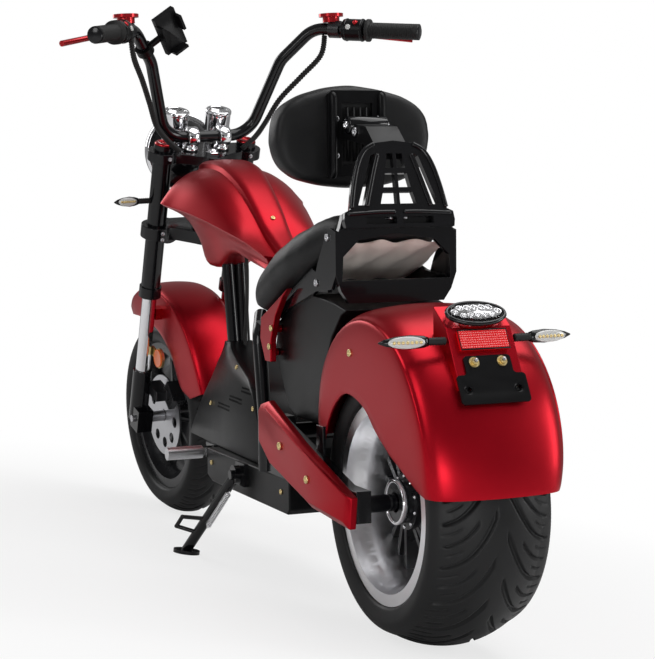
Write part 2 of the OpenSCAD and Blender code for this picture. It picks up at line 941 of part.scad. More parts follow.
// Centre cover: a flared moulding from the neck down to the battery box
// height, front y, rear y, front half width, rear half width
cover_table = [
    [box_top + 0.3, -398, 150, 74, 98], [250, -384, 140, 70, 97], [300, -354, 112, 60, 95],
    [350, -322, 60, 46, 88], [372, -310, 4, 40, 76], [394, -300, -120, 32, 54],
    [412, -293, -222, 27, 30], [cover_top, -290, -244, 25, 26]
];
function cover_ring(row) =
    let (z = row[0], yf = row[1], yr = row[2], wf = row[3], wr = row[4], c = 0.3 * wf)
        [
            [-wf + c, yf, z], [wf - c, yf, z], [wf, yf + c, z],
            [lerp(wf, wr, 0.5) + 4, lerp(yf, yr, 0.5), z],
            [wr, yr - c, z], [wr - c, yr, z],
            [-wr + c, yr, z], [-wr, yr - c, z],
            [-lerp(wf, wr, 0.5) - 4, lerp(yf, yr, 0.5), z],
            [-wf, yf + c, z]
        ];
module centre_cover() {
    color(black)
        parked()
            loft([for (row = cover_table) cover_ring(row)]);
}

module under_seat_box() {
    color(black)
        parked()
            slab([[196, 440], [214, 500], [300, 552], [380, 560], [472, 551.5], [530, 541], [506, 531],
                [466, 492], [436, 440], [426, 400], [426, 335], [300, 335], [262, 350], [214, 420]], -98, 98);
}

// Saddle
// y, bottom, top, half width
seat_table = [
    [46, 558, 588, 30], [80, 544, 592, 62], [120, 528, 594, 104], [190, 513, 606, seat_half],
    [270, 550, 642, seat_half + 4], [350, 586, 672, seat_half], [398, 606, 688, seat_half - 12],
    [432, 622, 698, seat_half - 26], [448, 630, 702, 108], [486, 648, 704, 98], [503, 658, 700, 84]
];
function seat_ring(row) =
    let (y = row[0], b = row[1], t = row[2], w = row[3], h = t - b)
        [
            [-0.75 * w, y, b], [-w * 0.97, y, b + 0.15 * h], [-w, y, b + 0.45 * h],
            [-0.92 * w, y, b + 0.8 * h],
            [-0.75 * w, y, t], [-0.35 * w, y, t - 0.1 * h], [0.35 * w, y, t - 0.1 * h], [0.75 * w, y, t],
            [0.92 * w, y, b + 0.8 * h], [w, y, b + 0.45 * h], [w * 0.97, y, b + 0.15 * h], [0.75 * w, y, b]
        ];
module seat() {
    color(rubber)
        parked()
            loft([for (i = [len(seat_table) - 1:-1:0]) [for (k = [11:-1:0]) seat_ring(seat_table[i])[k]]]);
}

module pan_slab(rows, half) {
    slab(concat(
        [for (row = rows) [row[0], row[1] - 0.3]],
        [for (i = [len(rows) - 1:-1:0]) [rows[i][0], rows[i][1] - 7.3]]
    ), -half, half);
}

module seat_pan() {
    color([0.7, 0.6, 0.5])
        parked() {
            // Narrow between the rails, and as wide as the bracket allows behind them
            pan_slab([for (row = seat_table) if (row[0] >= 350) row], 98);
            pan_slab([for (row = seat_table) if (row[0] >= 480) row], hoop_half - 0.5);
        }
}

module side_strips() {
    color(red)
        parked()
            pair() {
                slab([[189, 508], [322, 568], [298, 552], [262, 516],
                    [238, 470], [236, 430], [208, 430], [184, 470]], 110, 122);
                for (p = [[214, 446], [232, 490]])
                    translate([98.3, p[0], p[1]])
                        rotate([0, 90, 0])
                            cylinder(h = 13, r = 7);
            }
}

module swingarm() {
    color(black)
        parked()
            difference() {
                pair() {
                    slab([[262, 346], [325, 340], [rear_y - 40, rear_z + 26], [rear_y + 24, rear_z + 26],
                        [rear_y + 24, rear_z - 26], [rear_y - 40, rear_z - 26], [345, 282], [262, 282]],
                        arm_x, arm_x + 26);
                    slab([[470, 280], [500, 280], [500, 345], [470, 345]], arm_x + 0.3, arm_x + 6);
                }
                translate([-160, rear_y, rear_z])
                    rotate([0, 90, 0])
                        cylinder(h = 320, r = axle_r + 0.05);
            }
}

// Moulded covers over the arms, bevelled all round: distance out, share of the outline
arm_cover = [[290, 300], [345, 262], [530, 214], [684, 204], [692, 256], [480, 318], [330, 372], [290, 362]];
arm_cover_table = [[26.3, 1, 1], [38, 1, 1], [46, 0.955, 0.86]];
module swingarm_covers() {
    c = middle(arm_cover);
    color(red)
        parked()
            pair()
                loft([for (row = arm_cover_table) [for (p = arm_cover)
                    [arm_x + row[0], c[0] + row[1] * (p[0] - c[0]), c[1] + row[2] * (p[1] - c[1])]]]);
}

module rear_axle() {
    color(black)
        parked()
            on_axle(rear_y, rear_z) {
                translate([0, 0, -arm_x - 26])
                    cylinder(h = 2 * arm_x + 52, r = axle_r);
                translate([0, 0, hub_face + 1])
                    cylinder(h = arm_x - hub_face - 1.2, r = sleeve_r);
                translate([0, 0, -arm_x + 0.2])
                    cylinder(h = arm_x + disc_x - 1.2, r = sleeve_r);
            }
}

module rear_caliper() {
    color(black)
        parked()
            difference() {
                translate([0, rear_y, rear_z])
                    rotate([-35, 0, 0]) {
                        translate([-102, -122, -30])
                            cube([33, 38, 60]);
                        translate([-102, -100, -12])
                            cube([7, 100, 24]);
                        translate([-102, 0, 0])
                            rotate([0, 90, 0])
                                cylinder(h = 7, r = 24);
                    }
                translate([disc_x - 1.5, rear_y, rear_z])
                    rotate([0, 90, 0])
                        cylinder(h = disc_t + 3, r = rear_disc_r + 2);
                translate([-arm_x, rear_y, rear_z])
                    rotate([0, 90, 0])
                        cylinder(h = arm_x, r = sleeve_r + 0.2);
            }
}

// Tail: a red housing on the fender's crown carries the lamp, the reflector and the plate
tail_top = rear_fender_c + [183, 240.6];
tail_low = rear_fender_c + [229, 155.6];
tail_lean = atan((tail_low[0] - tail_top[0]) / (tail_top[1] - tail_low[1]));
module fender_core(grow) {
    loft([for (row = rear_fender_table)
        let (ring = fender_ring(rear_fender_c, sides(row) + [0, grow, grow, 0], fender_t))
            [for (i = [0:len(ring) / 2 - 1]) ring[i]]]);
}
module on_tail_face(down, out) {
    translate([0, tail_top[0], tail_top[1]])
        rotate([-90 + tail_lean, 0, 0])
            translate([0, down, out])
                children();
}

module tail_bracket() {
    color(red)
        parked()
            difference() {
                slab([rear_fender_c + [139, 180], tail_top + [-44, 30.7], tail_top, tail_low,
                    tail_low + [-12, -16], tail_low + [-62, -16]], -56, 56);
                fender_core(0.3);
            }
}

function oval(a, b, n) = [for (i = [0:n - 1]) [a * cos(360 * i / n), b * sin(360 * i / n)]];
module tail_lamp() {
    color("white")
        parked()
            translate([0, tail_top[0] - 15, tail_top[1] + 10.9])
                rotate([-35, 0, 0])
                    linear_extrude(10)
                        polygon(oval(48, 24, 24));
}

module rear_reflector() {
    color("red")
        parked()
            on_tail_face(24, 0.2)
                translate([0, 0, 4])
                    cube([84, 32, 8], center = true);
}

plate_hole_down = 104;
plate_hole_x = 43;
plate_hole_r = 3;
module plate_holder() {
    color(black)
        parked()
            on_tail_face(0, 0.2)
                difference() {
                    linear_extrude(3)
                        union() {
                            translate([-40, 49])
                                square([80, 34]);
                            translate([-59, 80])
                                square([118, 48]);
                        }
                    for (s = [-1, 1])
                        translate([s * plate_hole_x, plate_hole_down, -1])
                            cylinder(h = 5, r = plate_hole_r);
                }
}

module rear_indicators() {
    color(black)
        parked()
            pair()
                translate([57, tail_top[0] + 6, tail_top[1] - 19])
                    rotate([0, 0, -7])
                        indicator_body(84);
}

hoop_half = 106;
hoop_out = hoop_half + 6;
module backrest_bracket() {
    color(black)
        parked() {
            // Side plates beside the saddle
            pair()
                slab([[425, 568], [425, 590], [441, 618], [457, 640], [478, 668], [496, 677], [520, 672],
                    [520, 600], [500, 575]], hoop_half, hoop_out);
            // Rear hoop
            translate([0, 520, 0])
                rotate([90, 0, 0])
                    linear_extrude(12)
                        difference() {
                            polygon([[-88, 552], [88, 552], [102, 572], [hoop_out, 600], [hoop_out, 660],
                                [104, 678], [98, 700], [-98, 700], [-104, 678],
                                [-hoop_out, 660], [-hoop_out, 600], [-102, 572]]);
                            polygon([[-100, 590], [100, 590], [98, 630], [70, 657],
                                [0, 668], [-70, 657], [-98, 630]]);
                        }
        }
}

rack_tilt = 12;
rack_foot = [525.8, 676];
function rack_face(up) = rack_foot + up * [-sin(rack_tilt), cos(rack_tilt)];
module rack() {
    color(black)
        parked()
            translate([0, rack_foot[0], rack_foot[1]])
                rotate([rack_tilt, 0, 0])
                    translate([0, 12, 0])
                        rotate([90, 0, 0])
                            linear_extrude(12)
                                difference() {
                                    polygon([[-100, 0], [100, 0], [102, 12], [100, 26], [89, 31], [82, 70],
                                        [71, 108], [57, 132], [35, 144], [0, 148], [-35, 144], [-57, 132],
                                        [-71, 108], [-82, 70], [-89, 31], [-100, 26], [-102, 12]]);
                                    for (s = [-1, 1]) {
                                        polygon([[s * 6, 6], [s * 62, 6], [s * 62, 18], [s * 6, 18]]);
                                        polygon([[s * 74, 38], [s * 63, 38], [s * 35, 126], [s * 44, 122]]);
                                        polygon([[s * 3, 40], [s * 33, 40], [s * 27, 60], [s * 3, 60]]);
                                        polygon([[s * 3, 68], [s * 25, 68], [s * 20, 92], [s * 3, 92]]);
                                        polygon([[s * 3, 101], [s * 18, 101], [s * 14, 126], [s * 3, 126]]);
                                    }
                                }
}

pad_y = 322;
pad_z = 834;
pad_half = 152;
pad_t = 58;
pad_back = pad_y + pad_t / 2;
module backrest_mount() {
    color(black)
        parked() {
            translate([0, pad_back + 8.2, pad_z])
                rotate([90, 0, 0])
                    linear_extrude(8)
                        difference() {
                            polygon([[-55, -70], [55, -70], [55, 74], [48, 80], [-48, 80], [-55, 74]]);
                            polygon([[-29, -50], [29, -50], [29, 58], [-29, 58]]);
                        }
            slab([[pad_back + 4, pad_z - 4], [pad_back + 100, pad_z - 16], rack_face(118) - [0.3, 0],
                rack_face(146) - [0.3, 0], [pad_back + 110, pad_z + 14],
                [pad_back + 4, pad_z + 26]], -30, 30);
        }
}

module backrest_pad() {
    color(rubber)
        parked()
            translate([0, pad_back, pad_z])
                rotate([90, 0, 0])
                    linear_extrude(pad_t)
                        polygon([[0, 92], [-52, 87], [-95, 75], [-128, 58], [-147, 34], [-pad_half, 0],
                            [-146, -35],
                            [-135, -57], [-104, -79], [-63, -89], [0, -92], [63, -89], [104, -79], [135, -57],
                            [146, -35], [pad_half, 0], [147, 34], [128, 58], [95, 75], [52, 87]]);
}

// Side stand
stand_x = 122;
stand_pivot = [stand_x + 7, 64, 200];
stand_foot_x = 190;
stand_foot = [stand_foot_x, -62, stand_foot_x * tan(lean)];
stand_leg_r = 10;
loop_r = 4;
stand_loop = [for (t = [0.58, 0.7]) lerp(stand_pivot, stand_foot, t) + [44, -18, 8]];
stand_dir = unit(stand_foot - stand_pivot);
spring_r = 6;
spring_side = unit([0, 1, 0] - stand_dir * stand_dir[1]);
module side_stand() {
    color(black)
        parked()
            difference() {
                union() {
                    rod(lerp(stand_pivot, stand_foot, 0.04), stand_foot + [0, 0, 6], stand_leg_r);
                    // A wire loop for the rider's boot
                    for (row = [[0.56, stand_loop[0]], [0.74, stand_loop[1]]])
                        rod(lerp(stand_pivot, stand_foot, row[0]), row[1], loop_r);
                    rod(stand_loop[0], stand_loop[1], loop_r);
                    for (p = stand_loop)
                        translate(p)
                            sphere(r = loop_r + 0.2);
                    translate(stand_foot)
                        rotate([0, -lean, 0])
                            cylinder(h = 7, r = 26);
                    translate(stand_pivot)
                        rotate([0, 90, 0])
                            cylinder(h = 14, r = 18, center = true);
                }
                translate(stand_pivot - [20, 0, 0])
                    rotate([0, 90, 0])
                        cylinder(h = 40, r = 6.05);
                translate([stand_x - 30, stand_pivot[1] - 40, stand_pivot[2] - 40])
                    cube([30, 80, 80]);
                translate([stand_x + 14, stand_pivot[1], stand_pivot[2]])
                    rotate([0, 90, 0])
                        cylinder(h = 20, r = 10);
            }
}

module stand_spring() {
    color(chrome)
        parked()
            for (r = [stand_leg_r + spring_r + 0.3])
                rod(lerp(stand_pivot, stand_foot, 0.14) + spring_side * r,
                    lerp(stand_pivot, stand_foot, 0.6) + spring_side * r, spring_r);
}

// Rider's foot pegs fold up on their brackets
peg_pivot = [98, -190, 208];
peg_r = 13;
module peg_brackets() {
    color(black)
        parked() {
            pair() {
                rod([52, -150.3, 208], [52, -300, 208], 13);
                difference() {
                    translate([40, peg_pivot[1] - 16, peg_pivot[2] - 9])
                        cube([peg_pivot[0] - 40 + 8, 32, 18]);
                    translate([peg_pivot[0] - 10, peg_pivot[1] - 8, peg_pivot[2] - 30])
                        cube([30, 16, 60]);
                }
                translate(peg_pivot - [0, 15, 0])
                    rotate([-90, 0, 0])
                        cylinder(h = 30, r = 4);
            }
        }
}

module foot_peg() {
    difference() {
        union() {
            translate(peg_pivot + [14, 0, 0])
                rotate([0, 90, 0])
                    cylinder(h = 74, r = peg_r);
            translate(peg_pivot + [-7, -7, -7])
                cube([26, 14, 14]);
        }
        translate(peg_pivot - [0, 20, 0])
            rotate([-90, 0, 0])
                cylinder(h = 40, r = 4.05);
    }
}

module foot_peg_left() {
    color(chrome)
        parked()
            foot_peg();
}

module foot_peg_right() {
    color(chrome)
        parked()
            mirror([1, 0, 0])
                foot_peg();
}

frame();
battery_box();
centre_cover();
under_seat_box();
tank();
seat();
seat_pan();
side_strips();
swingarm();
swingarm_covers();
rear_axle();
rear_fender();
tail_bracket();
tail_lamp();
rear_reflector();
rear_indicators();
plate_holder();
backrest_bracket();
rack();
backrest_mount();
backrest_pad();
rear_caliper();
rear_tyre();
rear_rim();
hub_motor();
rear_disc();
fork_clamps();
fork_legs();
front_axle();
front_fender();
headlamp();
gauges();
handlebar();
grips();
switch_pods();
brake_levers();
phone_cradle();
looms();
front_indicators();
horn();
side_reflectors();
front_caliper();
front_tyre();
front_rim();
front_disc();
side_stand();
stand_spring();
tank_cable();
peg_brackets();
foot_peg_left();
foot_peg_right();
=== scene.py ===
import bpy, bmesh, math
from mathutils import Matrix, Vector
from mathutils.bvhtree import BVHTree


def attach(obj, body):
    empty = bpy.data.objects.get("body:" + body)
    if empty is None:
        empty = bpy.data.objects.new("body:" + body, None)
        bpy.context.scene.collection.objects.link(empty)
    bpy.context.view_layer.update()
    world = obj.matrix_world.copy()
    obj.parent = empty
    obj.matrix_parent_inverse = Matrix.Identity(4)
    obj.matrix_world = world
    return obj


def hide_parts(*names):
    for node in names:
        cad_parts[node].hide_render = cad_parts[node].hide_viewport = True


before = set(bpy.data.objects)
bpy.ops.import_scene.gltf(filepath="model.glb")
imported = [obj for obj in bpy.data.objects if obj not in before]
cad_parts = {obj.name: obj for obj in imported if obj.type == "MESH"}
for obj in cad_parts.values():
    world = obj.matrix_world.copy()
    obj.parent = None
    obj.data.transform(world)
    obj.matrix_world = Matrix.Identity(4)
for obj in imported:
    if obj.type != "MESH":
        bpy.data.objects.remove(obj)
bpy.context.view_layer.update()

# ---- Camera: the photograph's view, low behind the left side
# The scooter leans on its stand, so everything is laid out upright and then parked.
LEAN, REST, RAKE = (math.radians(a) for a in (9.0, 5.5, 20.5))
PARK = Matrix.Translation((-0.14377, 0, 0)) @ Matrix.Rotation(LEAN, 4, "Y")
STEM = Vector((0, math.sin(RAKE), math.cos(RAKE)))
HEAD = Vector((0, -0.642267, 0.219069))
STEER = PARK @ Matrix.Translation(HEAD) @ Matrix.Rotation(REST, 4, STEM) @ Matrix.Translation(-HEAD)
FRONT_AXLE, REAR_AXLE = Vector((0, -0.661, 0.226073)), Vector((0, 0.661, 0.23837))
FORK = STEER @ Matrix.Translation(FRONT_AXLE) @ Matrix.Rotation(-RAKE, 4, "X")

azimuth, rise, roll, distance = math.radians(22.34), math.radians(4.48), math.radians(-0.61), 3.3923
back = Vector((math.sin(azimuth) * math.cos(rise), math.cos(azimuth) * math.cos(rise), math.sin(rise)))
right = (-back).cross(Vector((0, 0, 1))).normalized()
up = right.cross(-back)
eye = Vector((0.01652, 0.20262, 0.50109)) + back * distance
camera = bpy.data.objects.new("camera", bpy.data.cameras.new("camera"))
bpy.context.collection.objects.link(camera)
turned = (right * math.cos(roll) + up * math.sin(roll), up * math.cos(roll) - right * math.sin(roll), back)
camera.matrix_world = PARK @ Matrix(
    [[turned[c][r] for c in range(3)] + [eye[r]] for r in range(3)] + [[0, 0, 0, 1]])
camera.data.sensor_fit = "VERTICAL"
camera.data.sensor_height = 36
camera.data.lens = 1838.03 * 36 / 659
camera.data.shift_x, camera.data.shift_y = 10.66 / 659, -10.15 / 659
bpy.context.scene.camera = camera
bpy.context.scene.view_settings.view_transform = "Standard"


# ---- Floor, backdrop and lights: a pale sweep under soft studio lamps
# White where the camera sees past the object, with its shadow kept.
def nodes_of(material):
    material.use_nodes = True
    tree = material.node_tree
    tree.nodes.clear()
    return tree, tree.nodes.new("ShaderNodeOutputMaterial")


def add(tree, kind, **values):
    node = tree.nodes.new(kind)
    for name, value in values.items():
        if name in node.inputs:
            node.inputs[name].default_value = value
        else:
            setattr(node, name, value)
    return node


bpy.ops.mesh.primitive_plane_add(size=40)
floor = bpy.context.object
floor.name = "studio_floor"
sweep = bpy.data.materials.new("pale_floor")
tree, out = nodes_of(sweep)
matte = add(tree, "ShaderNodeBsdfDiffuse", Color=(0.86, 0.86, 0.86, 1))
white = add(tree, "ShaderNodeEmission", Color=(1, 1, 1, 1), Strength=1.0)
mix = add(tree, "ShaderNodeMixShader")
path = add(tree, "ShaderNodeLightPath")
share = add(tree, "ShaderNodeMath", operation="MULTIPLY")
shade = add(tree, "ShaderNodeTexCoord")
reach = add(tree, "ShaderNodeVectorMath", operation="LENGTH")
far = add(tree, "ShaderNodeMapRange", interpolation_type="SMOOTHSTEP")
far.inputs["From Min"].default_value, far.inputs["From Max"].default_value = 0.5, 2.0
far.inputs["To Min"].default_value, far.inputs["To Max"].default_value = 0.72, 1.0
tree.links.new(shade.outputs["Object"], reach.inputs[0])
tree.links.new(reach.outputs["Value"], far.inputs["Value"])
tree.links.new(far.outputs[0], share.inputs[1])
tree.links.new(path.outputs["Is Camera Ray"], share.inputs[0])
tree.links.new(share.outputs[0], mix.inputs[0])
tree.links.new(matte.outputs[0], mix.inputs[1])
tree.links.new(white.outputs[0], mix.inputs[2])
tree.links.new(mix.outputs[0], out.inputs[0])
floor.data.materials.append(sweep)

world = bpy.data.worlds.new("studio")
bpy.context.scene.world = world
world.use_nodes = True
tree = world.node_tree
room = tree.nodes["Background"]
room.inputs[0].default_value = (1, 1, 1, 1)
path = add(tree, "ShaderNodeLightPath")
level = add(tree, "ShaderNodeMapRange")
level.inputs["To Min"].default_value = 0.24
level.inputs["To Max"].default_value = 1.0
tree.links.new(path.outputs["Is Camera Ray"], level.inputs["Value"])
tree.links.new(level.outputs[0], room.inputs[1])


def lamp(name, place, target, width, height, power):
    light = bpy.data.lights.new(name, "AREA")
    light.shape, light.size, light.size_y, light.energy = "RECTANGLE", width, height, power
    holder = bpy.data.objects.new(name, light)
    bpy.context.collection.objects.link(holder)
    holder.location = place
    holder.rotation_euler = (Vector(target) - Vector(place)).to_track_quat("-Z", "Y").to_euler()


lamp("overhead", (-0.6, 0.4, 3.0), (0, 0, 0.4), 2.4, 2.4, 50)
lamp("right_box", (-2.6, 1.9, 1.3), (0, 0.4, 0.4), 0.8, 1.8, 26)
lamp("left_box", (2.4, 1.4, 1.6), (0, 0, 0.5), 0.9, 1.6, 18)
lamp("low_rear_box", (0.5, 2.6, 0.15), (0, 0.5, 0.64), 0.9, 0.4, 9)
lamp("front_box", (1.2, -2.8, 1.6), (0, -0.3, 0.6), 1.4, 1.4, 20)


# ---- Materials
# Each is built from nodes at the real scale: fine grain in the bump, slow patches in the gloss.
def material(name, base, rough, metal=0.0, grain=400.0, bump=0.05, patch=0.06, spread=0.12,
             specular=0.5, coat=0.0, coat_rough=0.08, cells=0.0, sheen=0.0, depth=0.0002, through=0.0):
    m = bpy.data.materials.new(name)
    tree, out = nodes_of(m)
    skin = add(tree, "ShaderNodeBsdfPrincipled", Metallic=metal)
    skin.inputs["Specular IOR Level"].default_value = specular
    skin.inputs["Coat Weight"].default_value = coat
    skin.inputs["Coat Roughness"].default_value = coat_rough
    skin.inputs["Sheen Weight"].default_value = sheen
    skin.inputs["Transmission Weight"].default_value = through
    place = add(tree, "ShaderNodeTexCoord")
    fine = add(tree, "ShaderNodeTexNoise", Scale=grain, Detail=4.0, Roughness=0.6)
    slow = add(tree, "ShaderNodeTexNoise", Scale=14.0, Detail=5.0, Roughness=0.65)
    for texture in (fine, slow):
        tree.links.new(place.outputs["Object"], texture.inputs["Vector"])
    tint = add(tree, "ShaderNodeMapRange")
    tint.inputs["To Min"].default_value, tint.inputs["To Max"].default_value = 1 - spread, 1 + spread
    tree.links.new(slow.outputs["Fac"], tint.inputs["Value"])
    colour = add(tree, "ShaderNodeVectorMath", operation="SCALE")
    colour.inputs[0].default_value = base
    tree.links.new(tint.outputs[0], colour.inputs["Scale"])
    tree.links.new(colour.outputs[0], skin.inputs["Base Color"])
    gloss = add(tree, "ShaderNodeMapRange")
    gloss.inputs["To Min"].default_value = max(0.02, rough - patch)
    gloss.inputs["To Max"].default_value = min(1.0, rough + patch)
    tree.links.new(slow.outputs["Fac"], gloss.inputs["Value"])
    tree.links.new(gloss.outputs[0], skin.inputs["Roughness"])
    relief = add(tree, "ShaderNodeBump", Strength=bump, Distance=depth)
    height = fine.outputs["Fac"]
    if cells:
        hide = add(tree, "ShaderNodeTexVoronoi", Scale=cells)
        hide.feature = "DISTANCE_TO_EDGE"
        tree.links.new(place.outputs["Object"], hide.inputs["Vector"])
        crack = add(tree, "ShaderNodeMapRange")
        crack.inputs["From Max"].default_value = 0.12
        tree.links.new(hide.outputs["Distance"], crack.inputs["Value"])
        both = add(tree, "ShaderNodeMath", operation="MULTIPLY_ADD")
        both.inputs[1].default_value = 0.35
        tree.links.new(height, both.inputs[0])
        tree.links.new(crack.outputs[0], both.inputs[2])
        height = both.outputs[0]
    tree.links.new(height, relief.inputs["Height"])
    tree.links.new(relief.outputs[0], skin.inputs["Normal"])
    tree.links.new(skin.outputs[0], out.inputs[0])
    return m


satin_red = material("satin_red_paint", (0.42, 0.002, 0.011), 0.35, metal=0.85, grain=2600, bump=0.16,
                     patch=0.03, spread=0.06, specular=0.3, coat=0.06, coat_rough=0.3, depth=0.00005)
black_gloss = material("black_gloss_paint", (0.004, 0.004, 0.005), 0.16, grain=900, bump=0.04,
                       specular=0.3, coat=0.2, coat_rough=0.05, spread=0.2, patch=0.05)
black_moulding = material("black_moulding", (0.004, 0.004, 0.0045), 0.32, grain=1500, bump=0.18,
                          spread=0.15, patch=0.07, specular=0.16)
vinyl = material("black_vinyl", (0.007, 0.007, 0.0075), 0.4, cells=900, grain=300, bump=0.35,
                 spread=0.15, patch=0.06, specular=0.25, depth=0.00015)
pale_vinyl = material("pale_bare_moulding", (0.97, 0.88, 0.81), 0.5, grain=500, bump=0.2, spread=0.06)
rubber = material("black_rubber", (0.008, 0.008, 0.008), 0.58, grain=1100, bump=0.3, spread=0.25,
                  specular=0.35)
tyre_rubber = material("tyre_rubber", (0.007, 0.007, 0.0075), 0.48, grain=700, bump=0.3, spread=0.35,
                       patch=0.1, specular=0.28)
polished = material("polished_rim", (0.88, 0.88, 0.9), 0.3, metal=1.0, grain=500, bump=0.05, patch=0.05,
                    spread=0.04)
chrome = material("chrome_plate", (0.86, 0.86, 0.88), 0.05, metal=1.0, grain=160, bump=0.02, patch=0.03,
                  spread=0.03)
steel = material("ground_steel", (0.5, 0.5, 0.52), 0.3, metal=1.0, grain=900, bump=0.15, spread=0.1)
cast_black = material("black_cast_alloy", (0.016, 0.016, 0.018), 0.28, metal=0.3, grain=600, bump=0.14,
                      spread=0.25, coat=0.2)
cast_silver = material("cast_silver_alloy", (0.62, 0.62, 0.64), 0.32, metal=1.0, grain=800, bump=0.2,
                       spread=0.08)
lever_red = material("red_anodised_alloy", (0.5, 0.008, 0.014), 0.24, metal=0.7, grain=1200, bump=0.06,
                     spread=0.08, coat=0.3)
gold_zinc = material("yellow_zinc_plate", (0.78, 0.62, 0.3), 0.36, metal=1.0, grain=700, bump=0.08)
clear = material("clear_lens", (0.95, 0.95, 0.95), 0.03, grain=200, bump=0.02, spread=0.02, patch=0.02,
                 through=1.0)
pale_lens = material("pale_lens", (0.8, 0.8, 0.78), 0.12, grain=500, bump=0.06, spread=0.08, coat=0.6,
                     through=0.25)
red_lens = material("red_lens", (0.78, 0.004, 0.008), 0.1, grain=700, bump=0.05, spread=0.12, coat=0.8)
amber_lens = material("amber_lens", (0.9, 0.16, 0.01), 0.12, grain=700, bump=0.05, spread=0.12, coat=0.7)
# Near-black and matte: painted shade for the inside of the centre cover's vent holes.
hole_shade_black = material("painted_hole_shade", (0.002, 0.002, 0.002), 0.9, grain=900, bump=0.1, specular=0.1)

FINISH = {
    "frame": black_gloss, "battery_box": black_moulding, "centre_cover": black_moulding,
    "under_seat_box": black_moulding, "seat_pan": pale_vinyl, "side_strips": satin_red,
    "swingarm": black_gloss, "swingarm_covers": satin_red, "rear_axle": black_gloss,
    "tail_bracket": satin_red, "plate_holder": black_moulding, "backrest_bracket": black_gloss,
    "rack": black_gloss, "backrest_mount": black_gloss, "rear_caliper": cast_black,
    "peg_brackets": black_gloss, "rear_rim": polished, "hub_motor": cast_black, "rear_disc": steel,
    "fork_clamps": black_gloss, "fork_legs": black_gloss, "front_axle": steel, "headlamp": black_gloss,
    "gauges": chrome, "handlebar": black_gloss, "grips": rubber, "switch_pods": black_moulding,
    "brake_levers": lever_red, "phone_cradle": black_moulding, "looms": rubber,
    "front_indicators": black_moulding, "rear_indicators": black_moulding, "horn": cast_black,
    "front_caliper": cast_black, "front_rim": cast_black, "front_disc": steel,
    "side_stand": black_gloss, "stand_spring": chrome, "foot_peg_left": cast_silver,
    "foot_peg_right": cast_silver, "tank": satin_red, "rear_fender": satin_red, "front_fender": satin_red,
    "seat": vinyl, "backrest_pad": vinyl, "rear_tyre": tyre_rubber, "front_tyre": tyre_rubber,
    "tail_lamp": chrome, "rear_reflector": lever_red, "side_reflectors": gold_zinc,
    "tank_cable": rubber,
}


def dress(node, skin):
    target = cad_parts[node].data
    target.materials.clear()
    target.materials.append(skin)


for node, skin in FINISH.items():
    dress(node, skin)


# ---- Mesh helpers
def piece(name, verts, faces, body, skin, slot, place=PARK, replaces=(), smooth=True):
    mesh = bpy.data.meshes.new(name)
    mesh.from_pydata([place @ Vector(v) for v in verts], [], faces)
    mesh.validate()
    work = bmesh.new()
    work.from_mesh(mesh)
    bmesh.ops.recalc_face_normals(work, faces=work.faces)
    work.to_mesh(mesh)
    work.free()
    made = bpy.data.objects.new(name, mesh)
    bpy.context.collection.objects.link(made)
    mesh.materials.append(skin)
    mesh.shade_smooth() if smooth else mesh.shade_flat()
    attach(made, body)
    if replaces:
        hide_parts(*replaces)
    return made


def fair(points, steps, corners=()):
    """A curve through the points, smooth except at the corners."""
    ends = [0] + sorted(corners) + [len(points) - 1]
    run = []
    for a, b in zip(ends, ends[1:]):
        part = [Vector(p) for p in points[a:b + 1]]
        for i in range(len(part) - 1):
            p0, p1 = part[max(i - 1, 0)], part[i]
            p2, p3 = part[i + 1], part[min(i + 2, len(part) - 1)]
            for s in range(steps):
                t = s / steps
                run.append(0.5 * ((2 * p1) + (p2 - p0) * t + (2 * p0 - 5 * p1 + 4 * p2 - p3) * t * t
                                  + (3 * p1 - p0 - 3 * p2 + p3) * t ** 3))
    return run + [Vector(points[-1])]


def grid(rows, around=False, wrap=False):
    """Quads between rows of points; around joins each row's ends, wrap joins the last row to the first."""
    n, m = len(rows), len(rows[0])
    verts = [p for row in rows for p in row]
    faces = []
    for i in range(n if wrap else n - 1):
        j = (i + 1) % n
        for k in range(m if around else m - 1):
            q = (k + 1) % m
            faces.append((i * m + k, i * m + q, j * m + q, j * m + k))
    return verts, faces


def lathe(profile, steps, centre=(0, 0, 0), axis="X"):
    """Turns (radius, along) points about an axis through centre."""
    rows = []
    for i in range(steps):
        a = 2 * math.pi * i / steps
        c, s = math.cos(a), math.sin(a)
        row = []
        for r, h in profile:
            p = {"X": (h, r * c, r * s), "Y": (r * s, h, r * c), "Z": (r * c, r * s, h)}[axis]
            row.append(Vector(centre) + Vector(p))
        rows.append(row)
    return grid(rows, wrap=True)


def merge(parts):
    verts, faces = [], []
    for v, f in parts:
        faces += [tuple(i + len(verts) for i in face) for face in f]
        verts += list(v)
    return verts, faces


def moved(part, matrix):
    return [matrix @ Vector(v) for v in part[0]], part[1]


def facing(place, normal, spin=0.0):
    """A matrix that stands a small part, made along +Z, on a surface."""
    turn = Vector((0, 0, 1)).rotation_difference(Vector(normal).normalized()).to_matrix().to_4x4()
    return Matrix.Translation(Vector(place)) @ turn @ Matrix.Rotation(spin, 4, "Z")


def mm(*values):
    return tuple(v / 1000 for v in values)


MM = Matrix.Scale(0.001, 4)
BIKE, TURNED, LEG = PARK @ MM, STEER @ MM, FORK @ MM


def ring(reach, z, n=24):
    """A level ring; reach is a radius or a rule for it by angle."""
    turn = [2 * math.pi * i / n for i in range(n)]
    far = [reach(a) if callable(reach) else reach for a in turn]
    return [Vector((r * math.cos(a), r * math.sin(a), z)) for r, a in zip(far, turn)]


def stack(rings):
    """Rings one over another, closed at both ends."""
    verts, faces = grid(rings, around=True)
    m = len(rings[0])
    return verts, faces + [tuple(range(m))[::-1], tuple(range(len(verts) - m, len(verts)))]


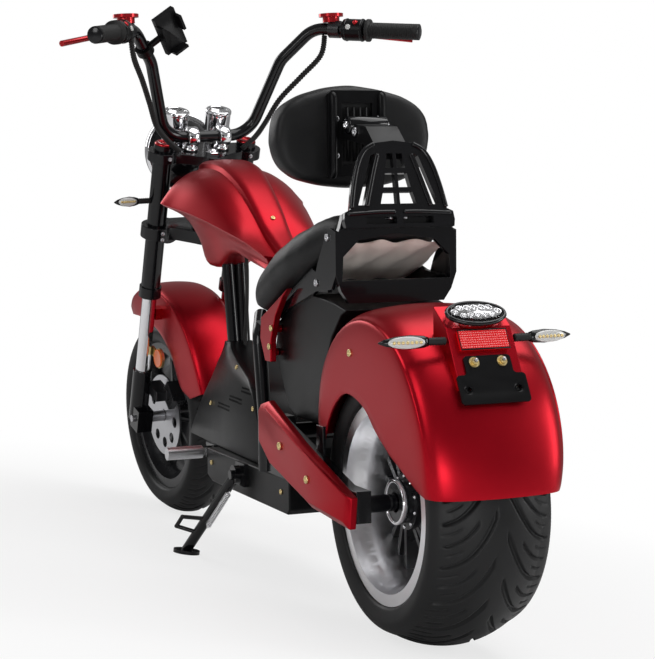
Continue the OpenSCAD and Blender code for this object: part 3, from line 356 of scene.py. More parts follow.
def screw(r, h):
    """A button-head screw with a hexagon socket, standing on z = 0."""
    def socket(a):
        return 0.5 * r / math.cos((math.degrees(a) % 60 - 30) * math.pi / 180)
    return stack([ring(r, -0.4), ring(r, 0.5 * h), ring(0.93 * r, 0.8 * h), ring(0.78 * r, h),
                  ring(socket, h), ring(socket, 0.35 * h)])


def oval(a, b, z, n=40):
    return [Vector((a * math.cos(2 * math.pi * i / n), b * math.sin(2 * math.pi * i / n), z))
            for i in range(n)]


def tube(points, reach, n=10, closed=False):
    """A round bar along points; reach is a radius or a rule for it by point."""
    points = [Vector(p) for p in points]
    side, rows = Vector((0.13, 0.31, 0.94)), []
    for i, p in enumerate(points):
        ahead = points[(i + 1) % len(points)] if closed or i + 1 < len(points) else p
        behind = points[i - 1] if closed or i else p
        along = (ahead - behind).normalized()
        side = (side - along * side.dot(along)).normalized()
        other = along.cross(side)
        r = reach(i) if callable(reach) else reach
        rows.append([p + side * (r * math.cos(2 * math.pi * k / n)) + other * (r * math.sin(2 * math.pi * k / n))
                     for k in range(n)])
    return grid(rows, around=True, wrap=True) if closed else stack(rows)


def spots(node, guesses, base, sink=0.0):
    """Stands a part on the point of a node's surface that is nearest to each guess."""
    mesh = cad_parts[node].data
    tree = BVHTree.FromPolygons([v.co for v in mesh.vertices], [p.vertices for p in mesh.polygons])
    back, found = base.inverted(), []
    for guess in guesses:
        place, normal, _, _ = tree.find_nearest(base @ Vector(guess))
        normal = (back.to_3x3() @ normal).normalized()
        found.append(facing(back @ place - normal * sink, normal))
    return found


def scatter(part, matrices):
    return merge([moved(part, m) for m in matrices])


def both(points):
    return [p for x, y, z in points for p in ((x, y, z), (-x, y, z))]


def remade(node, body, skins, edge=1.5, pick=None, corner=0.0):
    """The node again with its edges broken; pick gives a face's skin, corner rounds a thin plate's outline."""
    work = bmesh.new()
    work.from_mesh(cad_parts[node].data)
    bmesh.ops.remove_doubles(work, verts=work.verts, dist=0.00002)
    bmesh.ops.dissolve_limit(work, angle_limit=math.radians(0.8), verts=work.verts, edges=work.edges)
    if corner:
        short = [e for e in work.edges if e.calc_length() < 0.006 and e.calc_face_angle(0) > 1.2]
        bmesh.ops.bevel(work, geom=short, offset=corner / 1000, segments=5, profile=0.5, affect="EDGES")
    for face in work.faces:
        face.material_index = pick(face) if pick else 0
        face.smooth = True
    mesh = bpy.data.meshes.new(node + "_finished")
    for skin in skins if isinstance(skins, (list, tuple)) else [skins]:
        mesh.materials.append(skin)
    work.to_mesh(mesh)
    work.free()
    made = bpy.data.objects.new(node + "_finished", mesh)
    bpy.context.collection.objects.link(made)
    mesh.set_sharp_from_angle(angle=math.radians(34))
    broken = made.modifiers.new("edge", "BEVEL")
    broken.width, broken.segments, broken.limit_method = edge / 1000, 2, "ANGLE"
    broken.angle_limit, broken.harden_normals = math.radians(34), True
    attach(made, body)
    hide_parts(node)
    return made


# ---- Tyres: rubber casings with a directional tread
# Curved grooves sweep from the centre to the shoulder, with short slots between them.
def smooth_step(x):
    x = min(1.0, max(0.0, x))
    return x * x * (3 - 2 * x)


def tread_depth(s, v, pitch, sweep, across):
    side = 1 if s >= 0 else -1
    a = abs(s)
    v = v + (0.5 * pitch if side < 0 else 0)
    depth = 0.0
    cuts = [(0.0, 0.07, 0.86, 3.4, 1.0), (0.5, 0.34, 0.84, 2.2, 0.8), (0.27, 0.56, 0.8, 1.3, 0.45),
            (0.76, 0.58, 0.88, 1.3, 0.45)]
    for offset, start, stop, width, deep in cuts:
        if a < start - 0.02 or a > stop + 0.02:
            continue
        lag = sweep * (1 - a / 0.88) ** 2 if a < 0.88 else 0.0
        slope = 2 * sweep * (1 - min(a, 0.88) / 0.88) / 0.88 / across
        gap = (v - offset * pitch - lag) % pitch
        gap = min(gap, pitch - gap) / math.sqrt(1 + slope * slope)
        wide = width * (1.15 - 0.5 * a)
        edge = smooth_step((a - start) / 0.05) * smooth_step((stop - a) / 0.05)
        depth = max(depth, deep * edge * smooth_step((wide + 0.7 - gap) / 1.4))
    return depth


def casing(radius, width, crown, rim, seat, lean_flat, pitches, sweep, deep, around, across):
    edge = math.asin(0.36 * width / crown)
    def on_crown(a):
        return (radius - crown + crown * math.cos(a), crown * math.sin(a))
    low = [(rim - 12, seat / 2 - 3), (rim - 12, seat / 2), (rim + 0.5, seat / 2), (rim + 0.5, seat / 2 + 3),
           (rim + 6, width / 2 - 5), (rim + (radius - rim) * 0.38, width / 2),
           tuple(p + q for p, q in zip(on_crown(edge), (-10, 0.1 * width)))]
    tread = [on_crown(edge * (1 - i / across)) for i in range(across + 1)]
    wall = [tuple(p) for p in fair([Vector((*p, 0)) for p in low[3:] + [tread[0]]], 7)]
    half = low[:3] + [(p[0], p[1]) for p in wall[:-1]] + tread
    profile = half + [(r, -h) for r, h in half[-2::-1]]
    rows = []
    for i in range(around):
        a = 2 * math.pi * i / around
        row = []
        for r, h in profile:
            s = h / (width / 2)
            cut = tread_depth(s, radius * a, 2 * math.pi * radius / pitches, sweep, width / 2)
            if r < rim + 9:
                cut = 0.0
            knurl = 0.35 * smooth_step((math.sin(a * 240) - 0.2) * 2) if 0.962 < abs(s) < 0.985 else 0.0
            r = r - deep * cut - knurl
            row.append(Vector((h, r * math.cos(a), r * math.sin(a))) / 1000)
        rows.append(row)
    return grid(rows, wrap=True)


rear_tread = casing(236.5, 210, 150, 166, 181.4, LEAN, 19, 118, 5.5, 760, 46)
piece("rear_tyre_tread", [v + REAR_AXLE for v in rear_tread[0]], rear_tread[1], "rear_wheel",
      tyre_rubber, "tyre_black", replaces=["rear_tyre"])
front_tread = casing(226, 114, 62, 166, 75.4, LEAN, 19, 80, 4.0, 600, 24)
piece("front_tyre_tread", [v + FRONT_AXLE for v in front_tread[0]], front_tread[1], "front_wheel",
      tyre_rubber, "tyre_black", STEER, replaces=["front_tyre"])


# ---- Fenders: pressed shells with a crowned top and rolled edges
# Each follows the same sections as the frame's, with the curve between them made smooth.
def fender(name, centre, rows, place, body, node):
    """rows: angle, crown radius, half width, radius of the lower edge."""
    heads = fair([row[:3] for row in rows], 8)
    feet = fair([(row[0], row[3], 0) for row in rows], 8)
    skin = []
    for (angle, crown, half), (_, low, _) in zip(heads, feet):
        side = [(half, low), (half, crown - 0.32 * half), (0.93 * half, crown - 0.17 * half),
                (0.75 * half, crown - 0.075 * half), (0.4 * half, crown - 0.02 * half), (0, crown)]
        c, s = math.cos(math.radians(angle)), math.sin(math.radians(angle))
        outline = fair([(x, r, 0) for x, r in side] + [(-x, r, 0) for x, r in side[-2::-1]], 6)
        skin.append([Vector(mm(x, centre[0] + r * c, centre[1] + r * s)) for x, r, _ in outline])
    made = piece(name, *grid(skin), body, satin_red, "body_red", place, replaces=[node])
    shell = made.modifiers.new("sheet", "SOLIDIFY")
    shell.thickness, shell.offset = 0.0035, -1
    edge = made.modifiers.new("edge", "BEVEL")
    edge.width, edge.segments, edge.limit_method, edge.angle_limit = 0.0012, 2, "ANGLE", math.radians(50)


fender("rear_fender_shell", (633, 290.37), [
    (-3, 266, 114, 227), (-1.5, 266.5, 116, 208), (2, 267, 118, 184), (8, 268, 120, 156), (18, 269, 122, 126),
    (34, 270, 124, 106), (52, 271, 124, 98), (72, 270, 124, 104), (92, 266, 124, 114),
    (114, 256, 124, 130), (136, 240, 124, 136), (155, 219, 124, 141), (170, 204, 124, 147)],
    PARK, "chassis", "rear_fender")
# The front one's two stays to the fork stay as the frame has them.
fender("front_fender_shell", (-667, 234.07), [
    (14, 284, 60, 209), (25, 288, 65, 179), (50, 292, 66, 187), (75, 294, 66, 199),
    (95, 294, 64, 211.5), (112, 292, 58, 233.5), (122, 289, 48, 253.6)], STEER, "steering", "front_fender")
stays = []
for side in (1, -1):
    box = [Vector(mm(x, y, z)) for x in (60, 82) for y in (-28, -8) for z in (238, 264)]
    box = [Vector((p.x * side, p.y, p.z)) for p in box]
    stays.append((box, [(0, 1, 3, 2), (4, 6, 7, 5), (0, 4, 5, 1), (2, 3, 7, 6), (0, 2, 6, 4), (1, 5, 7, 3)]))
piece("fender_stays", *merge(stays), "steering", satin_red, "body_red", FORK, smooth=False)


# ---- Tank: a pressed delta with drooping wings and a raised spine between two creases
TANK = [(-386, -310, 792, 44, 143, 712, 600, 26), (-372, -296, 800, 46, 157, 712, 580, 28),
        (-300, -260, 801, 44, 146, 704, 582, 30), (-230, -205, 788, 40, 131, 694, 604, 34),
        (-160, -140, 756, 34, 114, 678, 610, 38), (-90, -70, 708, 30, 96, 658, 602, 42),
        (-30, -10, 660, 26, 80, 640, 594, 46), (40, 45, 620, 22, 60, 614, 584, 46)]


def between(a, b, t):
    return a + (b - a) * t


def tank_ring(y0, y1, top, spine, half, crease, low, foot):
    side = [(foot, low, 0.1), (between(foot, half, 0.2), between(low, crease, 0.4), 0.3),
            (between(foot, half, 0.5), between(low, crease, 0.76), 0.6), (half * 0.96, crease - 5, 1),
            (half, crease, 1), (between(spine, half, 0.72), between(top - 20, crease, 0.5), 0.8),
            (between(spine, half, 0.35), between(top - 20, crease, 0.13), 0.45), (spine + 3, top - 19, 0.15),
            (spine, top - 9, 0.1), (spine * 0.6, top - 1.5, 0)]
    points = [Vector(mm(-x, between(y0, y1, t), z)) for x, z, t in side]
    points += [Vector(mm(x, between(y0, y1, t), z)) for x, z, t in side[::-1]]
    # Sharp at the wing's rim and where the spine meets the flanks
    return fair(points + [points[0]], 5, corners=[3, 4, 7, 8, 11, 12, 15, 16])[:-1]


rings = [tank_ring(*row) for row in TANK]
columns = [fair(list(col), 6) for col in zip(*rings)]
rings = [list(row) for row in zip(*columns)]
verts, faces = grid(rings, around=True)
n = len(rings[0])
for first, flip in ((0, False), (len(verts) - n, True)):
    verts.append(sum((Vector(v) for v in verts[first:first + n]), Vector()) / n)
    faces += [(first + (k + 1) % n, first + k, len(verts) - 1) if flip else
              (first + k, first + (k + 1) % n, len(verts) - 1) for k in range(n)]
tank = piece("tank_shell", verts, faces, "chassis", satin_red, "body_red", replaces=["tank"])
crease = tank.modifiers.new("crease", "BEVEL")
crease.width, crease.segments, crease.limit_method, crease.angle_limit = 0.0015, 2, "ANGLE", math.radians(32)


# ---- Saddle and backrest: vinyl over foam, swollen by cloth pressure, then smoothed
# Each starts a little inside its solid, and no point may swell further than a cap.
def upholster(name, node, shrink, cap, voxel, frames=20):
    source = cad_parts[node].data
    work = bmesh.new()
    work.from_mesh(source)
    bmesh.ops.remove_doubles(work, verts=work.verts, dist=0.00005)
    mesh = bpy.data.meshes.new(name)
    work.to_mesh(mesh)
    work.free()
    made = bpy.data.objects.new(name, mesh)
    bpy.context.collection.objects.link(made)
    bpy.context.view_layer.objects.active = made
    for other in bpy.context.selected_objects:
        other.select_set(False)
    made.select_set(True)
    remesh = made.modifiers.new("even", "REMESH")
    remesh.mode, remesh.voxel_size = "VOXEL", voxel
    bpy.ops.object.modifier_apply(modifier="even")
    start = []
    for v in made.data.vertices:
        v.co = v.co - v.normal * shrink
        start.append(v.co.copy())
    cloth = made.modifiers.new("fill", "CLOTH")
    cloth.settings.quality = 4
    cloth.settings.mass = 0.3
    cloth.settings.tension_stiffness = cloth.settings.compression_stiffness = 18
    cloth.settings.shear_stiffness, cloth.settings.bending_stiffness = 8, 6
    cloth.settings.use_pressure, cloth.settings.uniform_pressure_force = True, 4
    cloth.settings.effector_weights.gravity = 0
    cloth.collision_settings.use_collision = False
    cloth.point_cache.frame_end = frames
    for f in range(1, frames + 1):
        bpy.context.scene.frame_set(f)
    swollen = made.evaluated_get(bpy.context.evaluated_depsgraph_get())
    shape = [v.co.copy() for v in swollen.data.vertices]
    made.modifiers.remove(cloth)
    bpy.context.scene.frame_set(1)
    for v, old, new in zip(made.data.vertices, start, shape):
        move = new - old
        v.co = old + move * min(1.0, cap / max(move.length, 1e-6))
    relax = made.modifiers.new("relax", "CORRECTIVE_SMOOTH")
    relax.factor, relax.iterations, relax.use_only_smooth = 0.5, 14, True
    bpy.ops.object.modifier_apply(modifier="relax")
    made.data.shade_smooth()
    made.data.materials.clear()
    made.data.materials.append(vinyl)
    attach(made, "chassis")
    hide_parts(node)
    return made


saddle = upholster("saddle_cushion", "seat", 0.002, 0.0025, 0.0065)
backrest = upholster("backrest_cushion", "backrest_pad", 0.002, 0.0025, 0.006)


# ---- Painted and cast parts: the frame's own solids with their edges broken
# Boxes, plates and castings are made again with 1-2 mm rounded edges.
for node, body, skin, name, edge in [
        ("battery_box", "chassis", black_moulding, "plastic_black", 3.0),
        ("under_seat_box", "chassis", black_moulding, "plastic_black", 3.0),
        ("centre_cover", "chassis", black_moulding, "plastic_black", 2.5),
        ("side_strips", "chassis", satin_red, "body_red", 2.5),
        ("swingarm", "chassis", black_gloss, "frame_black", 2.0),
        ("swingarm_covers", "chassis", satin_red, "body_red", 2.0),
        ("tail_bracket", "chassis", satin_red, "body_red", 4.0),
        ("backrest_bracket", "chassis", black_gloss, "frame_black", 1.6),
        ("rack", "chassis", black_gloss, "frame_black", 2.2),
        ("backrest_mount", "chassis", black_moulding, "frame_black", 3.0),
        ("rear_caliper", "chassis", cast_black, "alloy", 2.0),
        ("peg_brackets", "chassis", black_gloss, "frame_black", 1.5),
        ("fork_clamps", "steering", black_gloss, "frame_black", 2.5),
        ("phone_cradle", "steering", black_moulding, "plastic_black", 1.5),
        ("switch_pods", "steering", black_moulding, "plastic_black", 2.5),
        ("front_caliper", "steering", cast_black, "alloy", 2.0),
        ("hub_motor", "rear_wheel", cast_black, "alloy", 2.0)]:
    remade(node, body, skin, edge)
remade("plate_holder", "chassis", black_moulding, 0.8, corner=6)


# ---- Rear wheel: a bright turned barrel round dark painted spokes
# The hub has a polished ring; five cap screws hold the motor to it.
def wheel_skin(bright_from):
    def pick(face):
        corners = [BIKE.inverted() @ v.co for v in face.verts]
        nearest = min(math.hypot(p.y - 661, p.z - 238.37) for p in corners)
        return 0 if nearest > bright_from else 1
    return pick


remade("rear_rim", "rear_wheel", [polished, cast_black], 1.2, wheel_skin(126))
remade("front_rim", "front_wheel", cast_black, 1.2)
HUB = Matrix.Translation((0, 661, 238.37)) @ Matrix.Rotation(math.radians(90), 4, "Y")
piece("hub_ring", *lathe([(31.5, 72), (32, 74), (33, 74.6), (36, 74.6), (37, 73.6), (37, 66)], 64, (0, 661, 238.37)),
      "rear_wheel", chrome, "rim_chrome", BIKE)
around = [HUB @ Matrix.Rotation(math.radians(36 * k), 4, "Z") @ Matrix.Translation((41.5, 0, 54)) for k in range(10)]
piece("hub_screws", *scatter(screw(3.2, 3), around), "rear_wheel", chrome, "chrome", BIKE)


def leg_skin(face):
    p = LEG.inverted() @ face.calc_center_median()
    return 1 if 112 < p.z < 294 and math.hypot(abs(p.x) - 97, p.y + 18) < 16.6 else 0


remade("fork_legs", "steering", [black_gloss, chrome], 1.5, leg_skin)


# ---- Rack and hinge: rounded ridges on the rack, ribs and a hinge barrel on the backrest's mount
RACK = Matrix.Translation((0, 525.8, 676)) @ Matrix.Rotation(math.radians(12), 4, "X")
ridges = []
for side in (1, -1):
    for line, r in (([(87, 12, 33), (79, 12, 72), (68, 12, 108), (54, 12, 131), (36, 12, 142)], 4.2),
                    ([(59, 12, 36), (50, 12, 66), (40, 12, 98), (31, 12, 124)], 4.2),
                    ([(8, 12, 26), (40, 12, 26), (96, 12, 23)], 3.6)):
        ridges.append(tube([RACK @ Vector((side * p.x, p.y, p.z)) for p in fair(line, 8)], r, 14))
piece("rack_ridges", *merge(ridges), "chassis", black_gloss, "frame_black", BIKE)
bars = [tube([(x, 357, 790), (x, 357, 884)], 2.6, 12) for x in (-18, -6, 6, 18)]
bars += [tube(fair([(s * 46, 352, 766), (s * 46, 361, 774), (s * 46, 362, 840), (s * 46, 361, 898), (s * 46, 352, 906)], 8),
              6.5, 16) for s in (1, -1)]
piece("mount_ribs", *merge(bars), "chassis", black_moulding, "frame_black", BIKE)
barrel = stack([ring(13, -37, 40), ring(15, -35, 40), ring(15, 35, 40), ring(13, 37, 40)])
piece("hinge_barrel", *moved(barrel, Matrix.Translation((0, 398, 852)) @ Matrix.Rotation(math.radians(90), 4, "Y")),
      "chassis", black_gloss, "frame_black", BIKE)
pins = [Matrix.Translation((s * 37, 398, 852)) @ Matrix.Rotation(math.radians(90 * s), 4, "Y") for s in (1, -1)]
piece("hinge_pins", *scatter(screw(7, 5), pins), "chassis", chrome, "chrome", BIKE)


# ---- Screws: button heads pressed into the panels where the photograph shows them
panel = [("rear_fender", both([(123, 604, 478)]), 6.5),
         ("side_strips", both([(121, 244, 492), (121, 233, 458)]), 6),
         ("swingarm_covers", both([(170, 403, 302), (170, 525, 262)]), 7),
         ("tank", [(0, -60, 683)], 5),
         ("centre_cover", both([(60, -116, 385), (84, 60, 322), (74, -250, 300)]), 5),
         ("battery_box", both([(114, -120, 196), (114, 20, 196), (114, 262, 196)]), 5)]
heads = [moved(screw(r, 0.55 * r), m) for node, places, r in panel for m in spots(node, places, BIKE)]
piece("panel_screws", *merge(heads), "chassis", gold_zinc, "steel", BIKE)
dark = [("backrest_bracket", both([(112, 436, 583), (112, 486, 662)]), 6.5), ("rack", both([(13, 525, 690)]), 5), ("backrest_mount", both([(41, 359, 864), (41, 359, 800)]), 6),
        ("backrest_mount", both([(30, 420, 840)]), 8), ("tail_bracket", both([(56, 790, 510)]), 5)]
heads = [moved(screw(r, 0.6 * r), m) for node, places, r in dark for m in spots(node, places, BIKE)]
piece("bracket_screws", *merge(heads), "chassis", steel, "steel", BIKE)
heads = [moved(screw(4.5, 3.5), m) for m in spots("fork_clamps", both([(95, 16, 455), (95, 16, 441), (95, 16, 625)]), LEG)]
piece("clamp_screws", *merge(heads), "steering", steel, "steel", LEG)


# ---- Tail: an oval lamp of small bowls under clear plastic, a prismatic reflector and the plate's bolts
TAIL = Matrix.Translation((0, 801, 541.87)) @ Matrix.Rotation(math.radians(-35), 4, "X") @ Matrix.Translation((0, 0, 0))
rim_ring = [oval(51, 27, 8), oval(52.5, 28.5, 12), oval(51, 27, 14.5), oval(47.5, 23.5, 14.5), oval(46, 22, 11)]
piece("tail_lamp_rim", *moved(grid(rim_ring, around=True), TAIL), "chassis", black_gloss, "plastic_black", BIKE)
bowl = lathe([(0.01, 0.6), (1.6, 0.7), (4.6, 3.4), (6.2, 5.2), (6.2, 4.6), (4.6, 2.8)], 20, axis="Z")
rows = [(x, y) for y, xs in ((9, (-25, -12.5, 0, 12.5, 25)), (-9, (-25, -12.5, 0, 12.5, 25)), (0, (-37, 37)))
        for x in xs]
lit = [TAIL @ Matrix.Translation((x, y, 10)) for x, y in rows]
piece("tail_lamp_bowls", *scatter(bowl, lit), "chassis", chrome, "chrome", BIKE)
lens = [oval(46.5, 22.5, 10)] + [oval(46 * math.cos(t), 22 * math.cos(t), 13 + 4.5 * math.sin(t))
                                for t in (0, 0.3, 0.6, 0.9, 1.2, 1.45)]
piece("tail_lamp_lens", *moved(stack(lens), TAIL), "chassis", clear, "lamp_lens", BIKE)
FACE = Matrix.Translation((0, 816, 530.97)) @ Matrix.Rotation(math.radians(-90) + math.atan2(46, 85), 4, "X")
prisms = []
for i in range(21):
    for j in range(8):
        x, y = -39 + i * 3.9, 10.4 + j * 3.9
        prisms.append(([Vector((x - 1.9, y - 1.9, 8.2)), Vector((x + 1.9, y - 1.9, 8.2)),
                        Vector((x + 1.9, y + 1.9, 8.2)), Vector((x - 1.9, y + 1.9, 8.2)), Vector((x, y, 8.7))],
                       [(0, 1, 4), (1, 2, 4), (2, 3, 4), (3, 0, 4)]))
piece("reflector_prisms", *moved(merge(prisms), FACE), "chassis", red_lens, "red_lens", BIKE, smooth=False)
remade("rear_reflector", "chassis", red_lens, 1.2)
border = tube([(-41.5, 8.2, 7.6), (41.5, 8.2, 7.6), (41.5, 39.8, 7.6), (-41.5, 39.8, 7.6)], 1.5, 10, closed=True)
piece("reflector_frame", *moved(border, FACE), "chassis", black_moulding, "plastic_black", BIKE)
bolts = [FACE @ Matrix.Translation((x, 60, 3.2)) for x in (-24, 24)]
nut = merge([stack([ring(8.5, 0), ring(8.5, 1.6)]), stack([ring(5.6, 1.6, 6), ring(5.6, 6.5, 6), ring(4.6, 7.4, 6)])])
piece("plate_bolts", *scatter(nut, bolts), "chassis", gold_zinc, "steel", BIKE, smooth=False)
piece("plate_studs", *scatter(stack([ring(3, 7), ring(3, 10.5), ring(2.2, 11.2)]), bolts), "chassis", steel, "steel",
      BIKE)


# ---- Indicators: leaf-shaped shells with a clear face and a row of small lights
# Each stands on a ribbed rubber stalk.
def indicator(name, where, long, body, node):
    leaf, face, stalk, lights = [], [], [], []
    for side in (1, -1):
        base = where if side > 0 else Matrix.Scale(-1, 4, (1, 0, 0)) @ where
        shell = [oval(3, 3, 0, 28)] + [oval(*mix, 28) for mix in (
            (7, 6, 30), (9.5, 7.5, 38), (11, 8, 30 + 0.35 * long), (9, 7, 30 + 0.62 * long),
            (5.5, 4.5, 30 + 0.82 * long), (1.2, 1.2, 30 + 0.95 * long))]
        out = Matrix.Rotation(math.radians(90), 4, "Y")
        leaf.append(moved(stack(shell[1:]), base @ out))
        stalk.append(moved(stack([ring(6.6 if k % 2 else 5.2, 2 + 2.2 * k) for k in range(14)]), base @ out))
        flat = Matrix.Translation((34 + 0.38 * long, 5.4, 0)) @ Matrix.Rotation(math.radians(-90), 4, "X")
        face.append(moved(stack([oval(0.36 * long, 9.5, 0)] + [oval(0.36 * long * c, 9.5 * c, 4.5 * s) for c, s in
                    ((0.98, 0.35), (0.85, 0.7), (0.6, 0.9), (0.2, 1))]), base @ flat))
        for k in range(7):
            at = base @ flat @ Matrix.Translation((0.085 * long * (k - 3), 0, 4.2))
            lights.append(moved(stack([ring(2.6, -0.5, 12), ring(2.6, 1.0, 12), ring(1.4, 1.9, 12)]), at))
    place = BIKE if body == "chassis" else TURNED
    piece(name + "_shells", *merge(leaf), body, black_gloss, "plastic_black", place, replaces=[node])
    piece(name + "_stalks", *merge(stalk), body, rubber, "rubber_black", place)
    piece(name + "_lenses", *merge(face), body, pale_lens, "lamp_lens", place)
    piece(name + "_lights", *merge(lights), body, gold_zinc, "lamp_lens", place)


indicator("rear_indicator", Matrix.Translation((57, 822, 511.97)) @ Matrix.Rotation(math.radians(-7), 4, "Z"),
          84, "chassis", "rear_indicators")
fork_side = Matrix.Translation((0, -661, 226.073)) @ Matrix.Rotation(-RAKE, 4, "X") @ Vector((0, -18, 520))
indicator("front_indicator", Matrix.Translation((115, fork_side.y, fork_side.z)), 58, "steering", "front_indicators")


# ---- Handlebar: ribbed grips, switches, chrome caps and the two gauges
GRIP, END = Vector((0.6446, 0.7588, -0.0927)), Vector((358, -140, 1050))
ribs, plugs = [], []
for side in (1, -1):
    flip = Matrix.Scale(side, 4, (1, 0, 0))
    run = [END + GRIP * (2 - 0.8 * k) for k in range(145)]
    wave = [17 - (1.3 if k % 5 > 2 and 10 < k < 132 else 0.0) + (7 * (k > 136)) for k in range(145)]
    ribs.append(moved(tube(run, lambda i: wave[i], 28), flip))
    plugs.append(moved(tube([END + GRIP * t for t in (1.9, 2.6, 3.9)], lambda i: (15.5, 15, 12.5)[i], 28), flip))
piece("grip_ribs", *merge(ribs), "steering", rubber, "rubber_black", TURNED, replaces=["grips"])
piece("bar_end_plugs", *merge(plugs), "steering", black_gloss, "frame_black", TURNED)
button = stack([ring(5.6, -1), ring(5.6, 1.6), ring(4.9, 2.4), ring(4.0, 2.4), ring(3.9, 1.8), ring(3.2, 2.6)])
pods = [END - GRIP * 137 + Vector((-12, 14, 16)), END - GRIP * 152 + Vector((-12, 14, 4))]
pods = both([tuple(p) for p in pods])
marks = spots("switch_pods", pods, TURNED)
piece("switch_buttons", *scatter(button, marks[:2]), "steering", lever_red, "lever_red", TURNED)
piece("switch_rockers", *scatter(button, marks[2:]), "steering", pale_lens, "chrome", TURNED)
collar = stack([ring(24.2, 0, 40), ring(24.2, 2.2, 40)])
bands = [Matrix.Scale(s, 4, (1, 0, 0)) @ facing(END - GRIP * t, GRIP) for s in (1, -1) for t in (125, 160)]
piece("pod_bands", *scatter(collar, bands), "steering", black_gloss, "plastic_black", TURNED)


def lever_skin(face):
    p = TURNED.inverted() @ face.calc_center_median()
    reach = (Vector((abs(p.x), p.y, p.z)) - (END - GRIP * 184)).length
    return 1 if reach < 34 and p.z < 1085 else 0


remade("brake_levers", "steering", [lever_red, cast_black], 1.5, lever_skin)
caps = [Matrix.Translation((s * 37, -14.6, 634.4)) for s in (1, -1)]
piece("riser_caps", *scatter(stack([ring(17, 0, 40), ring(17, 5, 40), ring(14, 9, 40), ring(12.6, 10, 40), ring(12.6, 16, 40),
      ring(11.2, 17, 40)]), caps), "steering", chrome, "chrome", LEG)
saddles = [Matrix.Translation((s * 37, -14.6, 664)) @ Matrix.Rotation(math.radians(90), 4, "Y") for s in (1, -1)]
clamp = lathe([(12.7, -12), (20.6, -12), (21.4, -11), (21.4, 11), (20.6, 12), (12.7, 12)], 48)
piece("riser_clamps", *merge([moved(clamp, Matrix.Translation((s * 37, -14.6, 664))) for s in (1, -1)]),
      "steering", chrome, "chrome", LEG)
piece("stem_nut", *moved(stack([ring(15, 0, 6), ring(15, 7, 6), ring(13.5, 8, 6)]), Matrix.Translation((0, 20, 634.2))),
      "steering", chrome, "chrome", LEG, smooth=False)
piece("stem_dome", *moved(stack([ring(11 * math.cos(t), 8 + 6 * math.sin(t)) for t in (0, 0.4, 0.8, 1.2, 1.5)]),
                          Matrix.Translation((0, 20, 634.2))), "steering", chrome, "chrome", LEG)
tops = [Matrix.Translation((s * 97, -18, 647.6)) for s in (1, -1)]
piece("fork_caps", *scatter(stack([ring(20, 0, 40), ring(20, 2.5, 40), ring(17, 5, 40), ring(11, 5.4, 40), ring(11, 3, 40)]), tops),
      "steering", lever_red, "lever_red", LEG)
dials = [Matrix.Translation((s * 50, -74, 700.1)) for s in (1, -1)]
piece("gauge_bezels", *merge([moved(grid([ring(27, -6, 64), ring(28.2, -4, 64), ring(28.2, 1, 64), ring(26.5, 3.4, 64),
      ring(23.6, 3.4, 64), ring(22.6, 0.6, 64)], around=True), m) for m in dials]), "steering", chrome, "chrome", LEG)
piece("gauge_faces", *scatter(stack([ring(23, 0.2, 64), ring(23, 0.8, 64)]), dials), "steering", black_gloss, "plastic_black", LEG)
tick = ([Vector(v) for v in ((17, -0.5, 0.9), (21, -0.5, 0.9), (21, 0.5, 0.9), (17, 0.5, 0.9))], [(0, 1, 2, 3)])
spread = [m @ Matrix.Rotation(math.radians(a), 4, "Z") for m in dials for a in range(-40, 221, 13)]
hand = ([Vector(v) for v in ((-4, -0.9, 1.3), (18, -0.25, 1.3), (18, 0.25, 1.3), (-4, 0.9, 1.3))], [(0, 1, 2, 3)])
hands = [m @ Matrix.Rotation(math.radians(210), 4, "Z") for m in dials]
piece("gauge_marks", *merge([scatter(tick, spread), scatter(hand, hands)]), "steering", pale_lens, "lamp_lens", LEG, smooth=False)
piece("gauge_glasses", *scatter(stack([ring(22.8 * math.cos(t), 1.5 + 4.2 * math.sin(t), 48) for t in (0, 0.3, 0.6, 0.9, 1.2, 1.5)]), dials),
      "steering", clear, "lamp_lens", LEG)
loom = fair([(221.8, -300.3, 1056.5), (214, -308, 1014), (184, -344, 972), (152, -388, 926), (128, -414, 878),
             (104, -418, 848), (74, -424, 823)], 60)
wrap = [tube([Vector((s * p.x, p.y, p.z)) for p in loom], lambda i: 6 if i % 6 < 4 else 4.9, 12) for s in (1, -1)]
piece("loom_wraps", *merge(wrap), "steering", rubber, "rubber_black", TURNED, replaces=["looms"])


# ---- Headlamp: a black bowl with a chrome ring and a clear front
LAMP = Matrix.Translation((0, -585, 822)) @ Matrix.Rotation(math.radians(90), 4, "X")
piece("headlamp_ring", *moved(lathe([(70, 9), (79, 14), (84, 9), (84.5, 2), (83, -9), (81, -9)], 72, axis="Z"), LAMP),
      "steering", chrome, "chrome", TURNED)
piece("headlamp_bowl", *moved(lathe([(0.5, 16.3), (20, 16.6), (40, 15), (60, 12), (72, 9.6)], 72, axis="Z"), LAMP),
      "steering", polished, "chrome", TURNED)
piece("headlamp_glass", *moved(stack([ring(72 * math.cos(t), 10.5 + 11 * math.sin(t), 72) for t in (0, 0.25, 0.5, 0.8, 1.1, 1.4)]), LAMP),
      "steering", clear, "lamp_lens", TURNED)


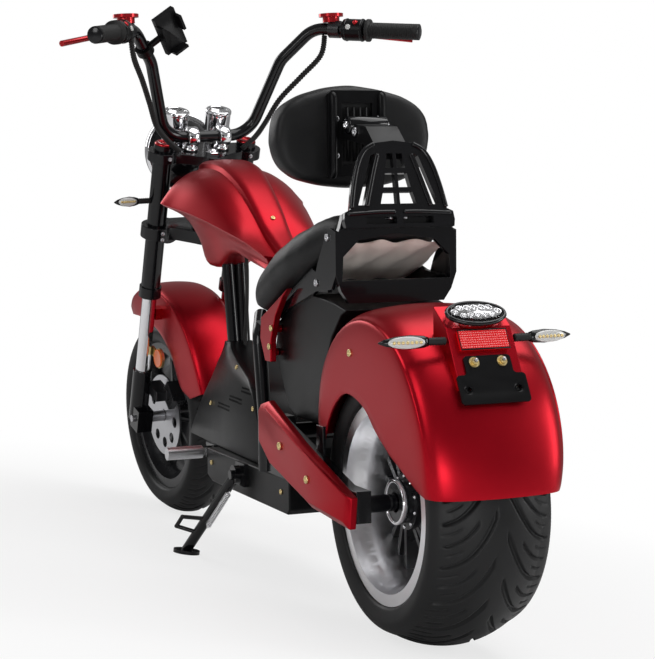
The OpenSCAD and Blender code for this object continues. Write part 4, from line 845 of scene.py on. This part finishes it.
# ---- Side stand: a coil spring along the leg
FOOT, PIVOT = Vector((190, -62, 30.09)), Vector((129, 64, 200))
along = (FOOT - PIVOT).normalized()
across = (Vector((0, 1, 0)) - along * along.y).normalized()
up_side = along.cross(across)
first, last = PIVOT.lerp(FOOT, 0.14) + across * 16.3, PIVOT.lerp(FOOT, 0.6) + across * 16.3
turns = 22
coil = [first.lerp(last, 0.06 + 0.88 * i / (turns * 14)) + across * (4.7 * math.cos(2 * math.pi * i / 14))
        + up_side * (4.7 * math.sin(2 * math.pi * i / 14)) for i in range(turns * 14 + 1)]
piece("stand_coil", *merge([tube(coil, 1.25, 8), tube([first, first.lerp(last, 0.07)], 1.6), tube([last.lerp(first, 0.07), last], 1.6)]),
      "stand", chrome, "chrome", BIKE, replaces=["stand_spring"])


# ---- Reflectors on the fork: amber discs of ringed prisms
disc = [(0.4, 3.6)] + [(2.2 * k, 3.6 if k % 2 else 3.0) for k in range(1, 10)] + [(20.2, 3.2), (20.2, 0.2)]
side_on = [Matrix.Translation((s * 82, 28, 160)) @ Matrix.Rotation(math.radians(90 * s), 4, "Y") for s in (1, -1)]
piece("amber_discs", *scatter(lathe(disc, 48, axis="Z"), side_on), "steering", amber_lens, "amber_lens", LEG)


# ---- Seat underside: pale moulded plastic with broad folds across it
pan_rows = [(350, 586), (398, 606), (432, 622), (448, 630), (486, 648), (503, 658)]
line = fair([(y, z, 0) for y, z in pan_rows], 8)
def fold(u, v):
    return 2.7 * math.sin(10.5 * u + 1.1 * v) + 0.5 * math.sin(19 * u - 1.7 * v + 1)
sheet = []
for i, p in enumerate(line):
    half = 97.8 if p.x < 480 else 105.3
    sheet.append([Vector((half * u, p.x, p.y - 4.0 + fold(u, i / 8))) for u in (k / 48 - 1 for k in range(97))])
lower = [[q - Vector((0, 0, 1.6)) for q in row] for row in sheet]
piece("seat_underside", *merge([grid(sheet), grid(lower)]), "chassis", pale_vinyl, "pan_beige", BIKE, replaces=["seat_pan"])


# ---- Cover vents: three bands of small matte black discs on the centre cover, painted shade where its vent holes are
holes = [(78, y - 0.18 * row * 4, 300 + row * 7 + lift) for lift, y0 in ((0, -190), (22, -110), (46, -30))
         for row in range(2) for y in range(y0, y0 + 96, 8)]
# Each disc is painted shade standing in for a hole; nothing is cut through the cover.
hole_shade_disc = stack([ring(2.1, 0.15, 12), ring(2.1, 0.3, 12), ring(1.6, 0.3, 12), ring(1.2, 0.12, 12)])
piece("vent_hole_shade", *scatter(hole_shade_disc, spots("centre_cover", both(holes), BIKE)), "chassis", hole_shade_black, "plastic_black", BIKE)
